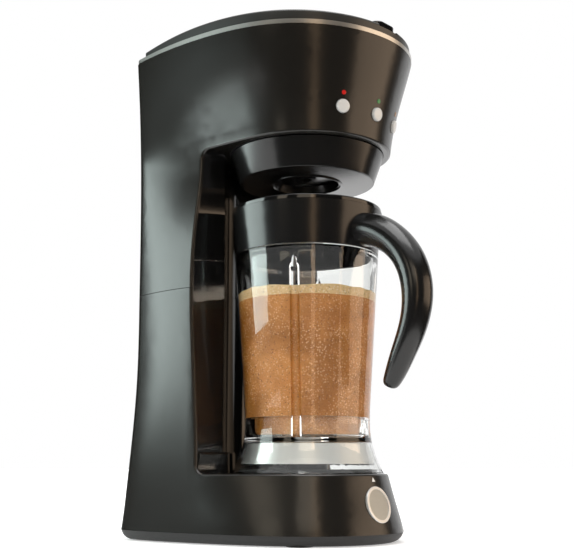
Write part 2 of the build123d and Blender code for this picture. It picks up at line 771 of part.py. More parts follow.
def straight_hose(x, y, low, high):
    """An upright length of hose."""
    return Pos(x, y, 0) * tube(HOSE_RADIUS, HOSE_BORE, low, high)


def feed_hose():
    """The hose from the tank down to the check valve, and on to the heater."""
    upper = straight_hose(-HEATER_LEG, HEATER_BACK, VALVE_LEVEL + VALVE_LENGTH, TANK_DEEP - 1)
    lower = straight_hose(-HEATER_LEG, HEATER_BACK, HEATER_TOP, VALVE_LEVEL)
    return Compound([upper, lower])


def check_valve():
    """The non-return valve in the feed hose."""
    middle = VALVE_LEVEL + VALVE_LENGTH / 2
    body = tube(VALVE_RADIUS, HOSE_BORE - 0.6, VALVE_LEVEL + 4, VALVE_LEVEL + VALVE_LENGTH - 4)
    stub = tube(HOSE_BORE, NIPPLE_BORE, VALVE_LEVEL - 8, VALVE_LEVEL + VALVE_LENGTH + 8)
    collar = tube(HOSE_RADIUS, NIPPLE_BORE, VALVE_LEVEL, VALVE_LEVEL + VALVE_LENGTH)
    ball = Pos(0, 0, middle) * Sphere(NIPPLE_BORE + 0.3)
    return Pos(-HEATER_LEG, HEATER_BACK, 0) * (body + collar + stub + ball)


def flow_heater():
    """The U of the tube heater, its legs upright, with a stub for each hose."""
    leg = HEATER_LEG
    turns = [(-leg, HEATER_TOP - 8), (-leg, HEATER_LOW), (leg, HEATER_LOW), (leg, HEATER_TOP - 8)]
    path = FilletPolyline([(x, HEATER_BACK, z) for x, z in turns], radius=HEATER_BEND)
    start = Plane(origin=path @ 0, z_dir=path % 0)
    body = sweep(start * Circle(HEATER_RADIUS), path=path)
    for side in (-1, 1):
        stub = tube(HOSE_BORE, NIPPLE_BORE, HEATER_TOP - 8, HEATER_TOP + 9)
        collar = tube(HOSE_RADIUS, NIPPLE_BORE, HEATER_TOP - 8, HEATER_TOP)
        body += Pos(side * leg, HEATER_BACK, 0) * (stub + collar)
    foot = HEATER_LOW - HEATER_RADIUS + 1 - cover_top()
    for side in (-1, 1):
        body += Pos(side * leg / 2, HEATER_BACK, cover_top() + foot / 2) * Box(8, 10, foot)
    return body


def thermostat():
    """The thermostat's can, clamped on the heater's cross leg."""
    low = HEATER_LOW + HEATER_RADIUS
    can = disc(THERMOSTAT_RADIUS, low + 1.0, low + THERMOSTAT_HEIGHT, 0, HEATER_BACK)
    saddle = Pos(0, HEATER_BACK, low + 0.2) * Box(16, 8, 2.0)
    leg = Pos(0, HEATER_BACK, HEATER_LOW) * (Rot(0, 90, 0) * Cylinder(HEATER_RADIUS, 40))
    tags = Pos(0, HEATER_BACK, low + THERMOSTAT_HEIGHT + 1.5) * Box(9, 1, 5)
    return can + saddle + tags - leg


def riser_hose():
    """The hose that carries hot water up the column and over to the shower."""
    leg = HEATER_LEG
    path = FilletPolyline((leg, HEATER_BACK, HEATER_TOP), (leg, HEATER_BACK, RISER_LEVEL),
                          (0, 0, RISER_LEVEL), (0, 0, RING_TOP + 0.5), radius=RISER_BEND * 0.8)
    start = Plane(origin=path @ 0, z_dir=path % 0)
    return sweep(start * Circle(HOSE_RADIUS), path=path) - sweep(start * Circle(HOSE_BORE), path=path)


def shower_head():
    """The drilled plate that spreads the hot water, with its nipple."""
    top = RING_TOP - RING_FLANGE
    low = top - 2 * SHOWER_PLATE
    head = disc(SHOWER_RADIUS, low, top) - disc(SHOWER_RADIUS - 2, low + SHOWER_PLATE, top - 0.4)
    head += tube(NIPPLE_RADIUS, NIPPLE_BORE, top - 0.4, RING_TOP + 6)
    head -= disc(NIPPLE_BORE, top - 1, RING_TOP + 7)
    for ring in SHOWER_RINGS:
        for hole in PolarLocations(ring, SHOWER_HOLES):
            head -= hole * disc(SHOWER_HOLE, low - 1, low + SHOWER_PLATE + 0.2)
    return head


def basket_ring():
    """The top hat in the head that the basket locks into, with three ledges."""
    inner = RING_RADIUS - RING_WALL
    low = HEAD_LOW + 0.3
    ring = tube(RING_RADIUS, inner, low, RING_TOP)
    ring += tube(RING_RADIUS + 2.2, inner, HEAD_LOW + WALL, HEAD_LOW + WALL + RING_FLANGE)
    ring += disc(inner + 0.5, RING_TOP - RING_FLANGE, RING_TOP) - disc(NIPPLE_RADIUS, 0, 400)
    ledge = tube(inner + 0.5, BASKET_NECK_RADIUS + 0.4, low, low + LUG_HEIGHT)
    for turn in range(LUG_COUNT):
        ring += ledge & sector(90, LEDGE_SWEEP, low - 1, low + 5, turn * 360 / LUG_COUNT - 90)
    return ring


def brew_basket():
    """The cone under the head, with its recessed mouth and three bayonet lugs."""
    brim_top = HEAD_LOW - BASKET_BRIM_GAP
    body = cone(BASKET_LOW_RADIUS, BASKET_BRIM_RADIUS, BASKET_LOW, brim_top)
    low_edge = body.edges().filter_by(lambda edge: abs(edge.center().Z - BASKET_LOW) < 0.01)
    body = fillet(low_edge, BASKET_EDGE)
    slope = (BASKET_BRIM_RADIUS - BASKET_LOW_RADIUS) / (brim_top - BASKET_LOW)
    neck_low = BASKET_LOW + (BASKET_NECK_RADIUS - BASKET_LOW_RADIUS) / slope + BASKET_NECK_SINK
    body += disc(BASKET_NECK_RADIUS, neck_low, BASKET_NECK_TOP)
    floor = BASKET_LOW + BASKET_FLOOR
    inner_low = BASKET_LOW_RADIUS - BASKET_WALL - BASKET_EDGE
    inner_top = BASKET_NECK_RADIUS - BASKET_WALL
    turn_level = floor + (inner_top - inner_low) / slope
    body -= cone(inner_low, inner_top, floor, turn_level)
    body -= disc(inner_top, turn_level - 0.01, BASKET_NECK_TOP + 1)
    body += disc(MOUTH_RADIUS + MOUTH_WALL, BASKET_LOW + 1, BASKET_LOW + MOUTH_DEPTH + MOUTH_WALL)
    body += Pos(0, 0, BASKET_LOW) * Torus(MOUTH_RADIUS + MOUTH_LIP, MOUTH_LIP)
    body -= cone(MOUTH_RADIUS, MOUTH_RADIUS - MOUTH_TAPER, BASKET_LOW - 2, BASKET_LOW + MOUTH_DEPTH)
    body += disc(SPOUT_RADIUS, BASKET_LOW + SPOUT_RISE, BASKET_LOW + MOUTH_DEPTH + MOUTH_WALL)
    body -= disc(SPOUT_BORE, BASKET_LOW - 2, BASKET_LOW + 20)
    lug_low = HEAD_LOW + 0.3 + LUG_HEIGHT + 0.3
    lug = tube(BASKET_NECK_RADIUS + LUG_REACH, BASKET_NECK_RADIUS - 1, lug_low, lug_low + LUG_HEIGHT)
    for turn in range(LUG_COUNT):
        body += lug & sector(90, LUG_SWEEP, lug_low - 1, lug_low + 5, turn * 360 / LUG_COUNT - 90)
    return body


def filter_levels():
    """Low and high level of the permanent filter."""
    return BASKET_LOW + MOUTH_DEPTH + MOUTH_WALL, BASKET_NECK_TOP - 1.0


def filter_frame():
    """The reusable filter's frame: a rim, ribs down its wall and a floor ring."""
    low, top = filter_levels()
    frame = cone(FILTER_LOW_RADIUS, FILTER_TOP_RADIUS, low, top)
    frame -= cone(FILTER_LOW_RADIUS - FILTER_WALL, FILTER_TOP_RADIUS - FILTER_WALL, low, top)
    wanted = layer(top - FILTER_BAND, top) + layer(low, low + FILTER_FLOOR)
    for rib in range(FILTER_RIBS):
        strip = Pos(50, 0, (low + top) / 2) * Box(100, FILTER_RIB_WIDTH, top - low)
        wanted += Rot(0, 0, rib * 360 / FILTER_RIBS) * strip
    frame = frame & wanted
    rim = tube(BASKET_NECK_RADIUS - BASKET_WALL, FILTER_TOP_RADIUS - FILTER_WALL, top - FILTER_RIM, top)
    floor = tube(FILTER_LOW_RADIUS, SPOUT_RADIUS + 10, low, low + FILTER_FLOOR)
    return frame + rim + floor


def filter_mesh():
    """The fine steel mesh inside the frame, as a thin cup."""
    low, top = filter_levels()
    floor = low + FILTER_FLOOR
    cup = cone(FILTER_LOW_RADIUS - FILTER_WALL, FILTER_TOP_RADIUS - FILTER_WALL, low, top)
    inside = FILTER_WALL + MESH_WALL
    cup -= cone(FILTER_LOW_RADIUS - inside, FILTER_TOP_RADIUS - inside, low, top)
    cup = cup & layer(floor, top)
    return cup + disc(FILTER_LOW_RADIUS - FILTER_WALL + 0.6, floor, floor + MESH_WALL)


def push_button(angle):
    """A domed cap with a flange behind the panel and a stem to its switch."""
    face = BUTTON_PROUD
    back = -WALL - 0.5
    points = [(0, face), (BUTTON_RADIUS - 1.2, face - 0.15), (BUTTON_RADIUS - 0.35, face - 0.5),
              (BUTTON_RADIUS, face - 1.2), (BUTTON_RADIUS, back), (BUTTON_RADIUS + BUTTON_FLANGE, back),
              (BUTTON_RADIUS + BUTTON_FLANGE, back - 1.2), (BUTTON_STEM, back - 1.2),
              (BUTTON_STEM, -switch_face() + BUTTON_TRAVEL + 0.3), (0, -switch_face() + BUTTON_TRAVEL + 0.3)]
    return panel_spot(angle) * turned(points)


def switch_face():
    """Depth of a switch's face behind the panel's surface."""
    return (PANEL_NOSE - BRACKET_RADIUS) / cos(radians(PANEL_LEAN)) - SWITCH_DEPTH


def switch_bracket(inner):
    """The curved bracket behind the panel that carries the switches and lights."""
    low = PANEL_LEVEL - 6.5
    high = PANEL_LEVEL + LIGHT_RISE + 3.5
    arc = tube(BRACKET_RADIUS, BRACKET_RADIUS - BRACKET_WALL, low, high)
    arc = arc & sector(90, 2 * BRACKET_HALF_SWEEP, low - 1, high + 1, -90)
    for side in (-1, 1):
        foot = Pos((BRACKET_RADIUS + 4.6), 0, (low + high) / 2) * Box(11.0, 2.4, high - low)
        foot = Rot(0, 0, -90 + side * (BRACKET_HALF_SWEEP - 1.5)) * foot
        arc += foot & inner
    return arc


def tact_switches():
    """One small switch behind each button, seated on the bracket."""
    switches = []
    for angle in BUTTON_ANGLES.values():
        block = Pos(0, 0, -switch_face() - SWITCH_DEPTH) * Box(SWITCH_SIZE, SWITCH_SIZE, 2 * SWITCH_DEPTH)
        block -= Pos(0, 0, -switch_face() + 5) * Box(20, 20, 10)
        switches.append(panel_spot(angle) * block - disc(BRACKET_RADIUS, PANEL_LEVEL - 20, PANEL_LEVEL + 20))
    return Compound(switches)


def light_pipe(angle):
    """A clear light pipe from the bracket to the panel's surface."""
    pipe = Cylinder(LIGHT_RADIUS, 30, align=HANGING)
    spot = panel_spot(angle, LIGHT_RISE)
    pipe = spot * (Pos(0, 0, LIGHT_PROUD) * pipe)
    return pipe - disc(BRACKET_RADIUS, PANEL_LEVEL - 40, PANEL_LEVEL + 40)


def jar_radius(level):
    """Outer radius of the jar's tapering wall at a level."""
    share = (level - JAR_TAPER_LEVEL) / (JAR_SHOULDER_LEVEL - JAR_TAPER_LEVEL)
    start = JAR_WAIST_RADIUS + 0.3
    return start + share * (JAR_SHOULDER_RADIUS - start)


def jar_foot():
    """Level of the jar's lower edge."""
    return BASE_TOP + JAR_SEAT_GAP


def flare_centre():
    """Radius of the skirt's flare, tangent to the waist and through the foot."""
    drop = JAR_WAIST_LEVEL - jar_foot()
    out = JAR_FOOT_RADIUS - JAR_WAIST_RADIUS
    return (out * out + drop * drop) / (2 * out)


def skirt_radius(level):
    """Outer radius of the clear skirt at a level under the waist."""
    bend = flare_centre()
    return JAR_WAIST_RADIUS + bend - sqrt(bend * bend - (JAR_WAIST_LEVEL - level) ** 2)


def jar():
    """The clear jar: tapering wall, neck, floor, flared skirt and four inner ribs."""
    foot = jar_foot()
    middle = (JAR_WAIST_LEVEL + foot) / 2
    neck_step = JAR_SHOULDER_RADIUS - JAR_NECK_RADIUS
    outer = [
        Line((0, foot), (JAR_FOOT_RADIUS, foot)),
        ThreePointArc(
            (JAR_FOOT_RADIUS, foot), (skirt_radius(middle), middle), (JAR_WAIST_RADIUS, JAR_WAIST_LEVEL)
        ),
        Spline([(JAR_WAIST_RADIUS, JAR_WAIST_LEVEL), (jar_radius(JAR_TAPER_LEVEL), JAR_TAPER_LEVEL)],
               tangents=[(0, 1), (0.068, 1)]),
        Line((jar_radius(JAR_TAPER_LEVEL), JAR_TAPER_LEVEL), (JAR_SHOULDER_RADIUS, JAR_SHOULDER_LEVEL - 1)),
        ThreePointArc((JAR_SHOULDER_RADIUS, JAR_SHOULDER_LEVEL - 1),
                      (JAR_SHOULDER_RADIUS - 0.3, JAR_SHOULDER_LEVEL - 0.3),
                      (JAR_SHOULDER_RADIUS - 1, JAR_SHOULDER_LEVEL)),
        *Polyline((JAR_SHOULDER_RADIUS - 1, JAR_SHOULDER_LEVEL), (JAR_NECK_RADIUS, JAR_SHOULDER_LEVEL),
                  (JAR_NECK_RADIUS, JAR_NECK_TOP), (0, JAR_NECK_TOP), (0, foot)).edges(),
    ]
    body = revolve(Plane.XZ * make_face(Wire(outer)), Axis.Z)
    neck_inner = JAR_NECK_RADIUS - JAR_WALL
    low_inner = jar_radius(JAR_TAPER_LEVEL) - JAR_WALL
    high_inner = JAR_SHOULDER_RADIUS - JAR_WALL
    inside = [(0, JAR_FLOOR_TOP), (low_inner - 2, JAR_FLOOR_TOP), (low_inner - 0.5, JAR_FLOOR_TOP + 2),
              (low_inner, JAR_TAPER_LEVEL), (high_inner - neck_step / 4, JAR_SHOULDER_LEVEL - 6),
              (neck_inner, JAR_SHOULDER_LEVEL + 1), (neck_inner, JAR_NECK_TOP + 1), (0, JAR_NECK_TOP + 1)]
    body -= turned(inside)
    under_top = JAR_FLOOR_TOP - JAR_FLOOR
    skirt_in = [
        Line((0, foot - 1), (JAR_FOOT_RADIUS - JAR_WALL, foot - 1)),
        Line((JAR_FOOT_RADIUS - JAR_WALL, foot - 1), (JAR_FOOT_RADIUS - JAR_WALL, foot)),
        ThreePointArc((JAR_FOOT_RADIUS - JAR_WALL, foot),
                      (skirt_radius((foot + under_top) / 2) - JAR_WALL, (foot + under_top) / 2),
                      (skirt_radius(under_top) - JAR_WALL, under_top)),
        *Polyline((skirt_radius(under_top) - JAR_WALL, under_top), (0, under_top), (0, foot - 1)).edges(),
    ]
    body -= revolve(Plane.XZ * make_face(Wire(skirt_in)), Axis.Z)
    body -= disc(HUB_RADIUS + 0.1, under_top - 1, JAR_FLOOR_TOP + 1)
    rib_radius = low_inner - RIB_SINK
    body += tube(low_inner + 0.5, low_inner - LEDGE_REACH, LEDGE_LOW, LEDGE_TOP)
    slope = (high_inner - low_inner) / (JAR_SHOULDER_LEVEL - JAR_TAPER_LEVEL)
    blank = jar_blank()
    for rib in range(RIB_COUNT):
        length = RIB_TOP - JAR_FLOOR_TOP + 0.5
        post = Cylinder(RIB_RADIUS, length, align=STANDING)
        post += Pos(0, 0, length) * Cone(RIB_RADIUS, 0.4, RIB_TIP, align=STANDING)
        post = Pos(rib_radius, 0, JAR_FLOOR_TOP - 0.5) * (Rot(0, degrees(atan(slope)), 0) * post)
        body += (Rot(0, 0, RIB_PHASE + rib * 360 / RIB_COUNT) * post) & blank
    for side in (0, 180):
        notch = Rot(0, 90, 0) * Cylinder(NOTCH_RADIUS, 20)
        body -= Rot(0, 0, NOTCH_TURN + side) * (Pos(JAR_FOOT_RADIUS, 0, foot) * notch)
    return body


def jar_blank():
    """The jar's outer form above its floor, to trim what is added inside."""
    low = JAR_FLOOR_TOP - JAR_FLOOR / 2
    points = [(0, low), (JAR_WAIST_RADIUS - 0.3, low), (jar_radius(JAR_TAPER_LEVEL) - 0.3, JAR_TAPER_LEVEL),
              (JAR_SHOULDER_RADIUS - 0.3, JAR_SHOULDER_LEVEL), (0, JAR_SHOULDER_LEVEL)]
    return turned(points)


def collar_solid(low, high):
    """The collar's outer cone, carried on to any two levels."""
    slope = (COLLAR_TOP_RADIUS - COLLAR_LOW_RADIUS) / (COLLAR_TOP - JAR_SHOULDER_LEVEL)
    low_radius = COLLAR_LOW_RADIUS + slope * (low - JAR_SHOULDER_LEVEL)
    high_radius = COLLAR_LOW_RADIUS + slope * (high - JAR_SHOULDER_LEVEL)
    return cone(low_radius, high_radius, low, high)


def jar_collar():
    """The band that clamps round the jar's neck."""
    low = JAR_SHOULDER_LEVEL + COLLAR_GAP
    band = collar_solid(low, COLLAR_TOP)
    band -= disc(JAR_NECK_RADIUS, low - 1, JAR_NECK_TOP)
    band -= disc(JAR_NECK_RADIUS - 1.6, JAR_NECK_TOP - 1, COLLAR_TOP + 1)
    return band - handle_peg(PEG_RADIUS, PEG_LENGTH)


def handle_peg(radius, length):
    """The peg that holds the grip's root in the collar."""
    return Pos(0, -COLLAR_TOP_RADIUS, HANDLE_PATH[0][1]) * (Rot(90, 0, 0) * Cylinder(radius, length))


def handle_grip(handle, zone):
    """The inner half of the handle, with its peg."""
    return handle + handle_peg(PEG_RADIUS - PEG_GAP, PEG_LENGTH - 2 * PEG_GAP) - zone


def handle_frames():
    """Square sections down the handle's middle line, with their depth and width."""
    spots = [(0, -reach, level) for reach, level in HANDLE_PATH]
    line = Spline(spots, tangents=[(0, -1, -0.06), (0, 1, -1.7)])
    places = []
    for step, (reach, level) in enumerate(HANDLE_PATH):
        share = line.param_at_point((0, -reach, level))
        places.append((Plane(origin=line @ share, x_dir=(1, 0, 0), z_dir=line % share),
                       HANDLE_DEPTH[step], HANDLE_WIDTH[step]))
    return places


def handle_solid():
    """The whole C of the handle, before it is parted into grip and cover."""
    places = handle_frames()
    sections = [place * Ellipse(width / 2, depth / 2) for place, depth, width in places]
    last, depth, width = places[-1]
    for share, scale in HANDLE_TIP_SCALES:
        ahead = last.origin + last.z_dir * (HANDLE_TIP * share)
        end = Plane(origin=ahead, x_dir=last.x_dir, z_dir=last.z_dir)
        sections.append(end * Ellipse(width / 2 * scale, depth / 2 * scale))
    body = loft(sections)
    return body - collar_solid(JAR_SHOULDER_LEVEL - 40, COLLAR_TOP + 40)


def cover_zone():
    """Everything outside the seam that parts the handle's cover from its grip."""
    inner = []
    for section in handle_frames():
        place = section[0]
        outward = Vector(0, place.z_dir.Z, -place.z_dir.Y)
        point = place.origin + outward * COVER_OFFSET
        inner.append((point.Y, point.Z))
    start, end = inner[0], inner[-1]
    edges = [
        Spline(inner),
        *Polyline(end, (end[0] + 8, end[1] - 60), (-200, end[1] - 60), (-200, start[1] + 60),
                  (start[0], start[1] + 60), start).edges(),
    ]
    return extrude(Plane.YZ * make_face(Wire(edges)), 40, both=True)


def blade_base():
    """The silvery cup inside the skirt that carries the blades' bearing."""
    under_top = JAR_FLOOR_TOP - JAR_FLOOR
    top = under_top - FLOOR_GASKET
    top_radius = skirt_radius(top) - JAR_WALL - CUP_GAP
    low_radius = skirt_radius(CUP_LOW) - JAR_WALL - CUP_GAP - 0.4
    cup = cone(low_radius, top_radius, CUP_LOW, top)
    cup -= cone(low_radius - CUP_WALL, top_radius - CUP_WALL, CUP_LOW, top - CUP_PLATE)
    cup += disc(HUB_RADIUS, HUB_LOW, HUB_TOP)
    cup -= disc(BUSH_RADIUS, HUB_LOW - 1, BUSH_TOP)
    cup -= disc(SEAL_RADIUS, BUSH_TOP, BUSH_TOP + SEAL_HEIGHT)
    cup -= disc(SHAFT_RADIUS + 1.0, BUSH_TOP, HUB_TOP + 1)
    for web in range(6):
        rib = Pos((HUB_RADIUS + 26) / 2, 0, top - CUP_PLATE - 1.5) * Box(16, 1.6, 3.2)
        cup += Rot(0, 0, web * 60) * rib
    return cup


def floor_gasket():
    """The flat ring between the blade base and the jar's floor."""
    under_top = JAR_FLOOR_TOP - JAR_FLOOR
    return tube(GASKET_RADIUS, HUB_RADIUS, under_top - FLOOR_GASKET, under_top)


def floor_nut():
    """The ring nut that clamps the blade base to the jar's floor."""
    nut = extrude(RegularPolygon(NUT_RADIUS, 8), NUT_HEIGHT)
    nut = Pos(0, 0, JAR_FLOOR_TOP) * nut
    top = nut.faces().sort_by(Axis.Z)[-1]
    nut = chamfer(top.edges(), 0.6)
    return nut - disc(HUB_RADIUS, JAR_FLOOR_TOP - 1, JAR_FLOOR_TOP + NUT_HEIGHT + 1)


def shaft_bush():
    """The bush that the blades' spindle turns in."""
    return tube(BUSH_RADIUS, SHAFT_RADIUS + SHAFT_GAP, BUSH_LOW, BUSH_TOP)


def shaft_seal():
    """The lip seal over the bush."""
    seal = tube(SEAL_RADIUS, SHAFT_RADIUS + SHAFT_GAP, BUSH_TOP, BUSH_TOP + SEAL_HEIGHT)
    return seal - tube(SEAL_RADIUS - 1.2, SHAFT_RADIUS + 1.2, BUSH_TOP + 1.0, BUSH_TOP + SEAL_HEIGHT + 1)


def driven_low():
    """Level of the driven coupling's lower face."""
    return drive_low() + 0.6


def drive_low():
    """Level of the drive star's lower face."""
    return BASE_TOP + DRIVE_RISE


def blade_shaft():
    """The spindle through the jar's floor."""
    return disc(SHAFT_RADIUS, driven_low() + DRIVEN_HEIGHT - DRIVEN_WEB, BLADE_LEVEL + BLADE_THICK + 3)


def blade_cross():
    """Four thin blades on one hub, two turned up and two turned down."""
    hub = disc(BLADE_HUB, BLADE_LEVEL - 1.0, BLADE_LEVEL + BLADE_THICK)
    half = BLADE_WIDTH / 2
    tip = BLADE_TIP_WIDTH / 2
    sides = [(0, -half), (BLADE_LENGTH, -tip + 1.5), (BLADE_LENGTH, tip + 1.0), (0, half)]
    for arm in range(4):
        blade = extrude(make_face(Polyline(*sides, close=True)), BLADE_THICK)
        tilt = -BLADE_TILT if arm % 2 == 0 else BLADE_TILT * 0.8
        blade = Pos(BLADE_HUB - 1.2, 0, 0) * (Rot(0, tilt, 0) * blade)
        hub += Pos(0, 0, BLADE_LEVEL) * (Rot(0, 0, 45 + 90 * arm) * blade)
    hub -= disc(SHAFT_RADIUS, BLADE_LEVEL - 20, BLADE_LEVEL + 20)
    return hub


def cap_nut():
    """The domed nut on top of the blades."""
    low = BLADE_LEVEL + BLADE_THICK
    nut = Pos(0, 0, low) * extrude(RegularPolygon(CAP_NUT_RADIUS + 1, 6), 3.0)
    nut += disc(CAP_NUT_RADIUS, low, low + CAP_NUT_HEIGHT)
    top = nut.edges().group_by(Axis.Z)[-1]
    nut = fillet(top, 1.8)
    return nut - disc(SHAFT_RADIUS, low - 1, low + 3)


def lobed(radius_gap, low, high):
    """A star of round lobes about the axis."""
    star = disc(LOBE_RING + radius_gap, low, high)
    for spot in PolarLocations(LOBE_RING, LOBE_COUNT):
        star += spot * disc(LOBE_RADIUS + radius_gap, low, high)
    return star


def driven_coupling():
    """The socket under the jar that the motor's star drives."""
    low = driven_low()
    top = low + DRIVEN_HEIGHT
    body = disc(DRIVEN_RADIUS, low, top)
    body -= lobed(LOBE_GAP, low - 1, top - DRIVEN_WEB)
    return body - disc(SHAFT_RADIUS, low, top + 1)


def drive_coupling():
    """The star on the motor's shaft."""
    star = lobed(0.0, drive_low(), drive_low() + DRIVE_HEIGHT)
    return star - disc(SHAFT_RADIUS, drive_low() - 1, drive_low() + DRIVE_HEIGHT - 1.5)


def jar_lid():
    """The jar's cap: thin rim, centre hole with a funnel, and a slotted strainer skirt."""
    low = COLLAR_TOP + JAR_LID_GAP
    cap = disc(JAR_LID_RADIUS, low, JAR_LID_TOP)
    rim = cap.edges().filter_by(lambda edge: abs(edge.center().Z - JAR_LID_TOP) < 0.01)
    cap = fillet(rim, JAR_LID_EDGE)
    cap -= disc(SKIRT_RADIUS - SKIRT_WALL, low - 1, JAR_LID_TOP + 1)
    plate_top = low - 1.0
    funnel_low = plate_top - FUNNEL_DEPTH
    plate = turned([(SKIRT_RADIUS - 1, plate_top), (SKIRT_RADIUS - 1, plate_top - 2),
                    (LID_HOLE_RADIUS + 9, plate_top - 2), (LID_HOLE_RADIUS + 1.8, funnel_low),
                    (LID_HOLE_RADIUS, funnel_low), (LID_HOLE_RADIUS + 7.6, plate_top)])
    skirt = tube(SKIRT_RADIUS, SKIRT_RADIUS - SKIRT_WALL, SKIRT_LOW, low + 1)
    middle = (SLOT_LOW + SLOT_TOP) / 2
    for slot in range(SLOT_COUNT):
        window = Pos(SKIRT_RADIUS, 0, middle) * Box(3 * SKIRT_WALL, SLOT_WIDTH, SLOT_TOP - SLOT_LOW)
        skirt -= Rot(0, 0, SLOT_PHASE + slot * 360 / SLOT_COUNT) * window
    groove = tube(SKIRT_RADIUS + 1, SKIRT_RADIUS - 0.8, GASKET_LEVEL, GASKET_LEVEL + GASKET_HEIGHT)
    skirt -= groove
    grip = Pos(0, 0, plate_top + 1.6) * Box(2 * (SKIRT_RADIUS - SKIRT_WALL) - 1, 3, 3.2)
    grip -= disc(LID_HOLE_RADIUS + 8, plate_top - 5, plate_top + 10)
    return cap + skirt + plate + grip


def lid_gasket():
    """The soft ring that seals the lid in the jar's neck."""
    outer = JAR_NECK_RADIUS - JAR_WALL - GASKET_GAP
    return tube(outer, SKIRT_RADIUS - 0.8, GASKET_LEVEL, GASKET_LEVEL + GASKET_HEIGHT)


def jar_seat_ring():
    """The soft ring on the base that centres the jar's skirt."""
    ring = tube(SEAT_RADIUS, SEAT_RADIUS - SEAT_WIDTH, BASE_TOP, BASE_TOP + SEAT_HEIGHT)
    top = ring.edges().group_by(Axis.Z)[-1]
    return fillet(top, 0.8)


def spindle_seal():
    """The ring that keeps drips out where the motor's shaft comes up."""
    low = BASE_TOP - WALL
    return tube(SEAL_RING_RADIUS, SHAFT_RADIUS + SHAFT_GAP, low, BASE_TOP)


def motor_can():
    """The deep-drawn can of the flat motor, with a bush seat in its floor."""
    can = disc(MOTOR_RADIUS, MOTOR_LOW, MOTOR_TOP)
    low_edge = can.edges().filter_by(lambda edge: abs(edge.center().Z - MOTOR_LOW) < 0.01)
    can = fillet(low_edge, 2.0)
    can -= disc(MOTOR_RADIUS - MOTOR_WALL, MOTOR_LOW + MOTOR_WALL, MOTOR_TOP + 1)
    can -= disc(BUSH_RADIUS, MOTOR_LOW - 1, MOTOR_TOP)
    for spot in PolarLocations(20, 6):
        can -= spot * disc(4, MOTOR_LOW - 1, MOTOR_LOW + 3)
    return can


def magnet_levels():
    """Low and high level of the magnets and the armature."""
    return MOTOR_LOW + MAGNET_END, MOTOR_TOP - COMMUTATOR_HEIGHT - 2.0


def motor_magnets():
    """Two curved magnets on the can's wall."""
    low, top = magnet_levels()
    outer = MOTOR_RADIUS - MOTOR_WALL
    ring = tube(outer, outer - MAGNET_WALL, low, top)
    magnets = [ring & sector(90, MAGNET_SWEEP, low - 1, top + 1, middle) for middle in (0, 180)]
    return Compound([part for magnet in magnets for part in magnet.solids()])


def motor_plate():
    """The end plate that closes the can and hangs the motor from the base."""
    top = MOTOR_TOP + PLATE_THICK
    plate = disc(MOTOR_RADIUS, MOTOR_TOP, top)
    ears = [spot * disc(EAR_RADIUS, MOTOR_TOP, top) for spot in ear_spots()]
    web = Pos(-EAR_RING / 5, 0, MOTOR_TOP + PLATE_THICK / 2) * Box(EAR_RING / 3, 2 * EAR_RADIUS, PLATE_THICK)
    ears += [spot * web for spot in ear_spots()]
    holes = [spot * disc(SCREW_SHANK, MOTOR_TOP - 1, top + 1) for spot in ear_spots()]
    holes.append(disc(BUSH_RADIUS, MOTOR_TOP - 1, top + 1))
    return plate + ears - holes


def motor_bushes():
    """A sintered bush at each end of the motor's shaft."""
    low = tube(BUSH_RADIUS, SHAFT_RADIUS + SHAFT_GAP, MOTOR_LOW, MOTOR_LOW + MOTOR_WALL + 2)
    high = tube(BUSH_RADIUS, SHAFT_RADIUS + SHAFT_GAP, MOTOR_TOP - 0.5, MOTOR_TOP + PLATE_THICK)
    return Compound([low, high])


def motor_isolators():
    """Soft pads between the motor's plate and the base's underside."""
    pad = tube(ISOLATOR_RADIUS, SCREW_SHANK, MOTOR_TOP + PLATE_THICK, pad_top())
    return Compound([spot * pad for spot in ear_spots()])


def motor_screws():
    """Screws up through the motor's plate and pads into the base."""
    screw = disc(SCREW_HEAD, MOTOR_TOP - 2, MOTOR_TOP) + disc(SCREW_SHANK, MOTOR_TOP, BASE_TOP - 1)
    return Compound([spot * screw for spot in ear_spots()])


def motor_rotor():
    """The slotted armature with its commutator."""
    low, top = magnet_levels()
    radius = MOTOR_RADIUS - MOTOR_WALL - MAGNET_WALL - ROTOR_GAP
    body = disc(radius, low, top)
    for slot in range(ROTOR_SLOTS):
        gap = Box(SLOT_DEPTH + 2, ROTOR_SLOT_WIDTH, top - low + 2)
        gap = Pos(radius - SLOT_DEPTH / 2 + 1, 0, (low + top) / 2) * gap
        body -= Rot(0, 0, slot * 360 / ROTOR_SLOTS) * gap
    body += disc(COMMUTATOR_RADIUS, top - 1, MOTOR_TOP - 1.2)
    return body - disc(SHAFT_RADIUS, low - 1, MOTOR_TOP + 1)


def fan_low():
    """Level of the fan's lower face."""
    return MOTOR_LOW - FAN_GAP - FAN_HEIGHT


def motor_shaft():
    """The motor's shaft, from the fan up to the drive coupling."""
    return disc(SHAFT_RADIUS, fan_low(), drive_low() + DRIVE_HEIGHT - 1.5)


def cooling_fan():
    """A flat fan under the motor that draws air through the bottom vents."""
    low = fan_low()
    fan = disc(9, low, low + FAN_HEIGHT) + disc(FAN_RADIUS, low + FAN_HEIGHT - 1, low + FAN_HEIGHT)
    for blade in range(FAN_BLADES):
        vane = Pos((FAN_RADIUS + 8) / 2, 0, low + FAN_HEIGHT / 2) * Box(FAN_RADIUS - 9, 1.2, FAN_HEIGHT)
        fan += Rot(0, 0, blade * 360 / FAN_BLADES) * (vane & disc(FAN_RADIUS, 0, 60))
    return fan - disc(SHAFT_RADIUS, low - 1, low + FAN_HEIGHT + 1)


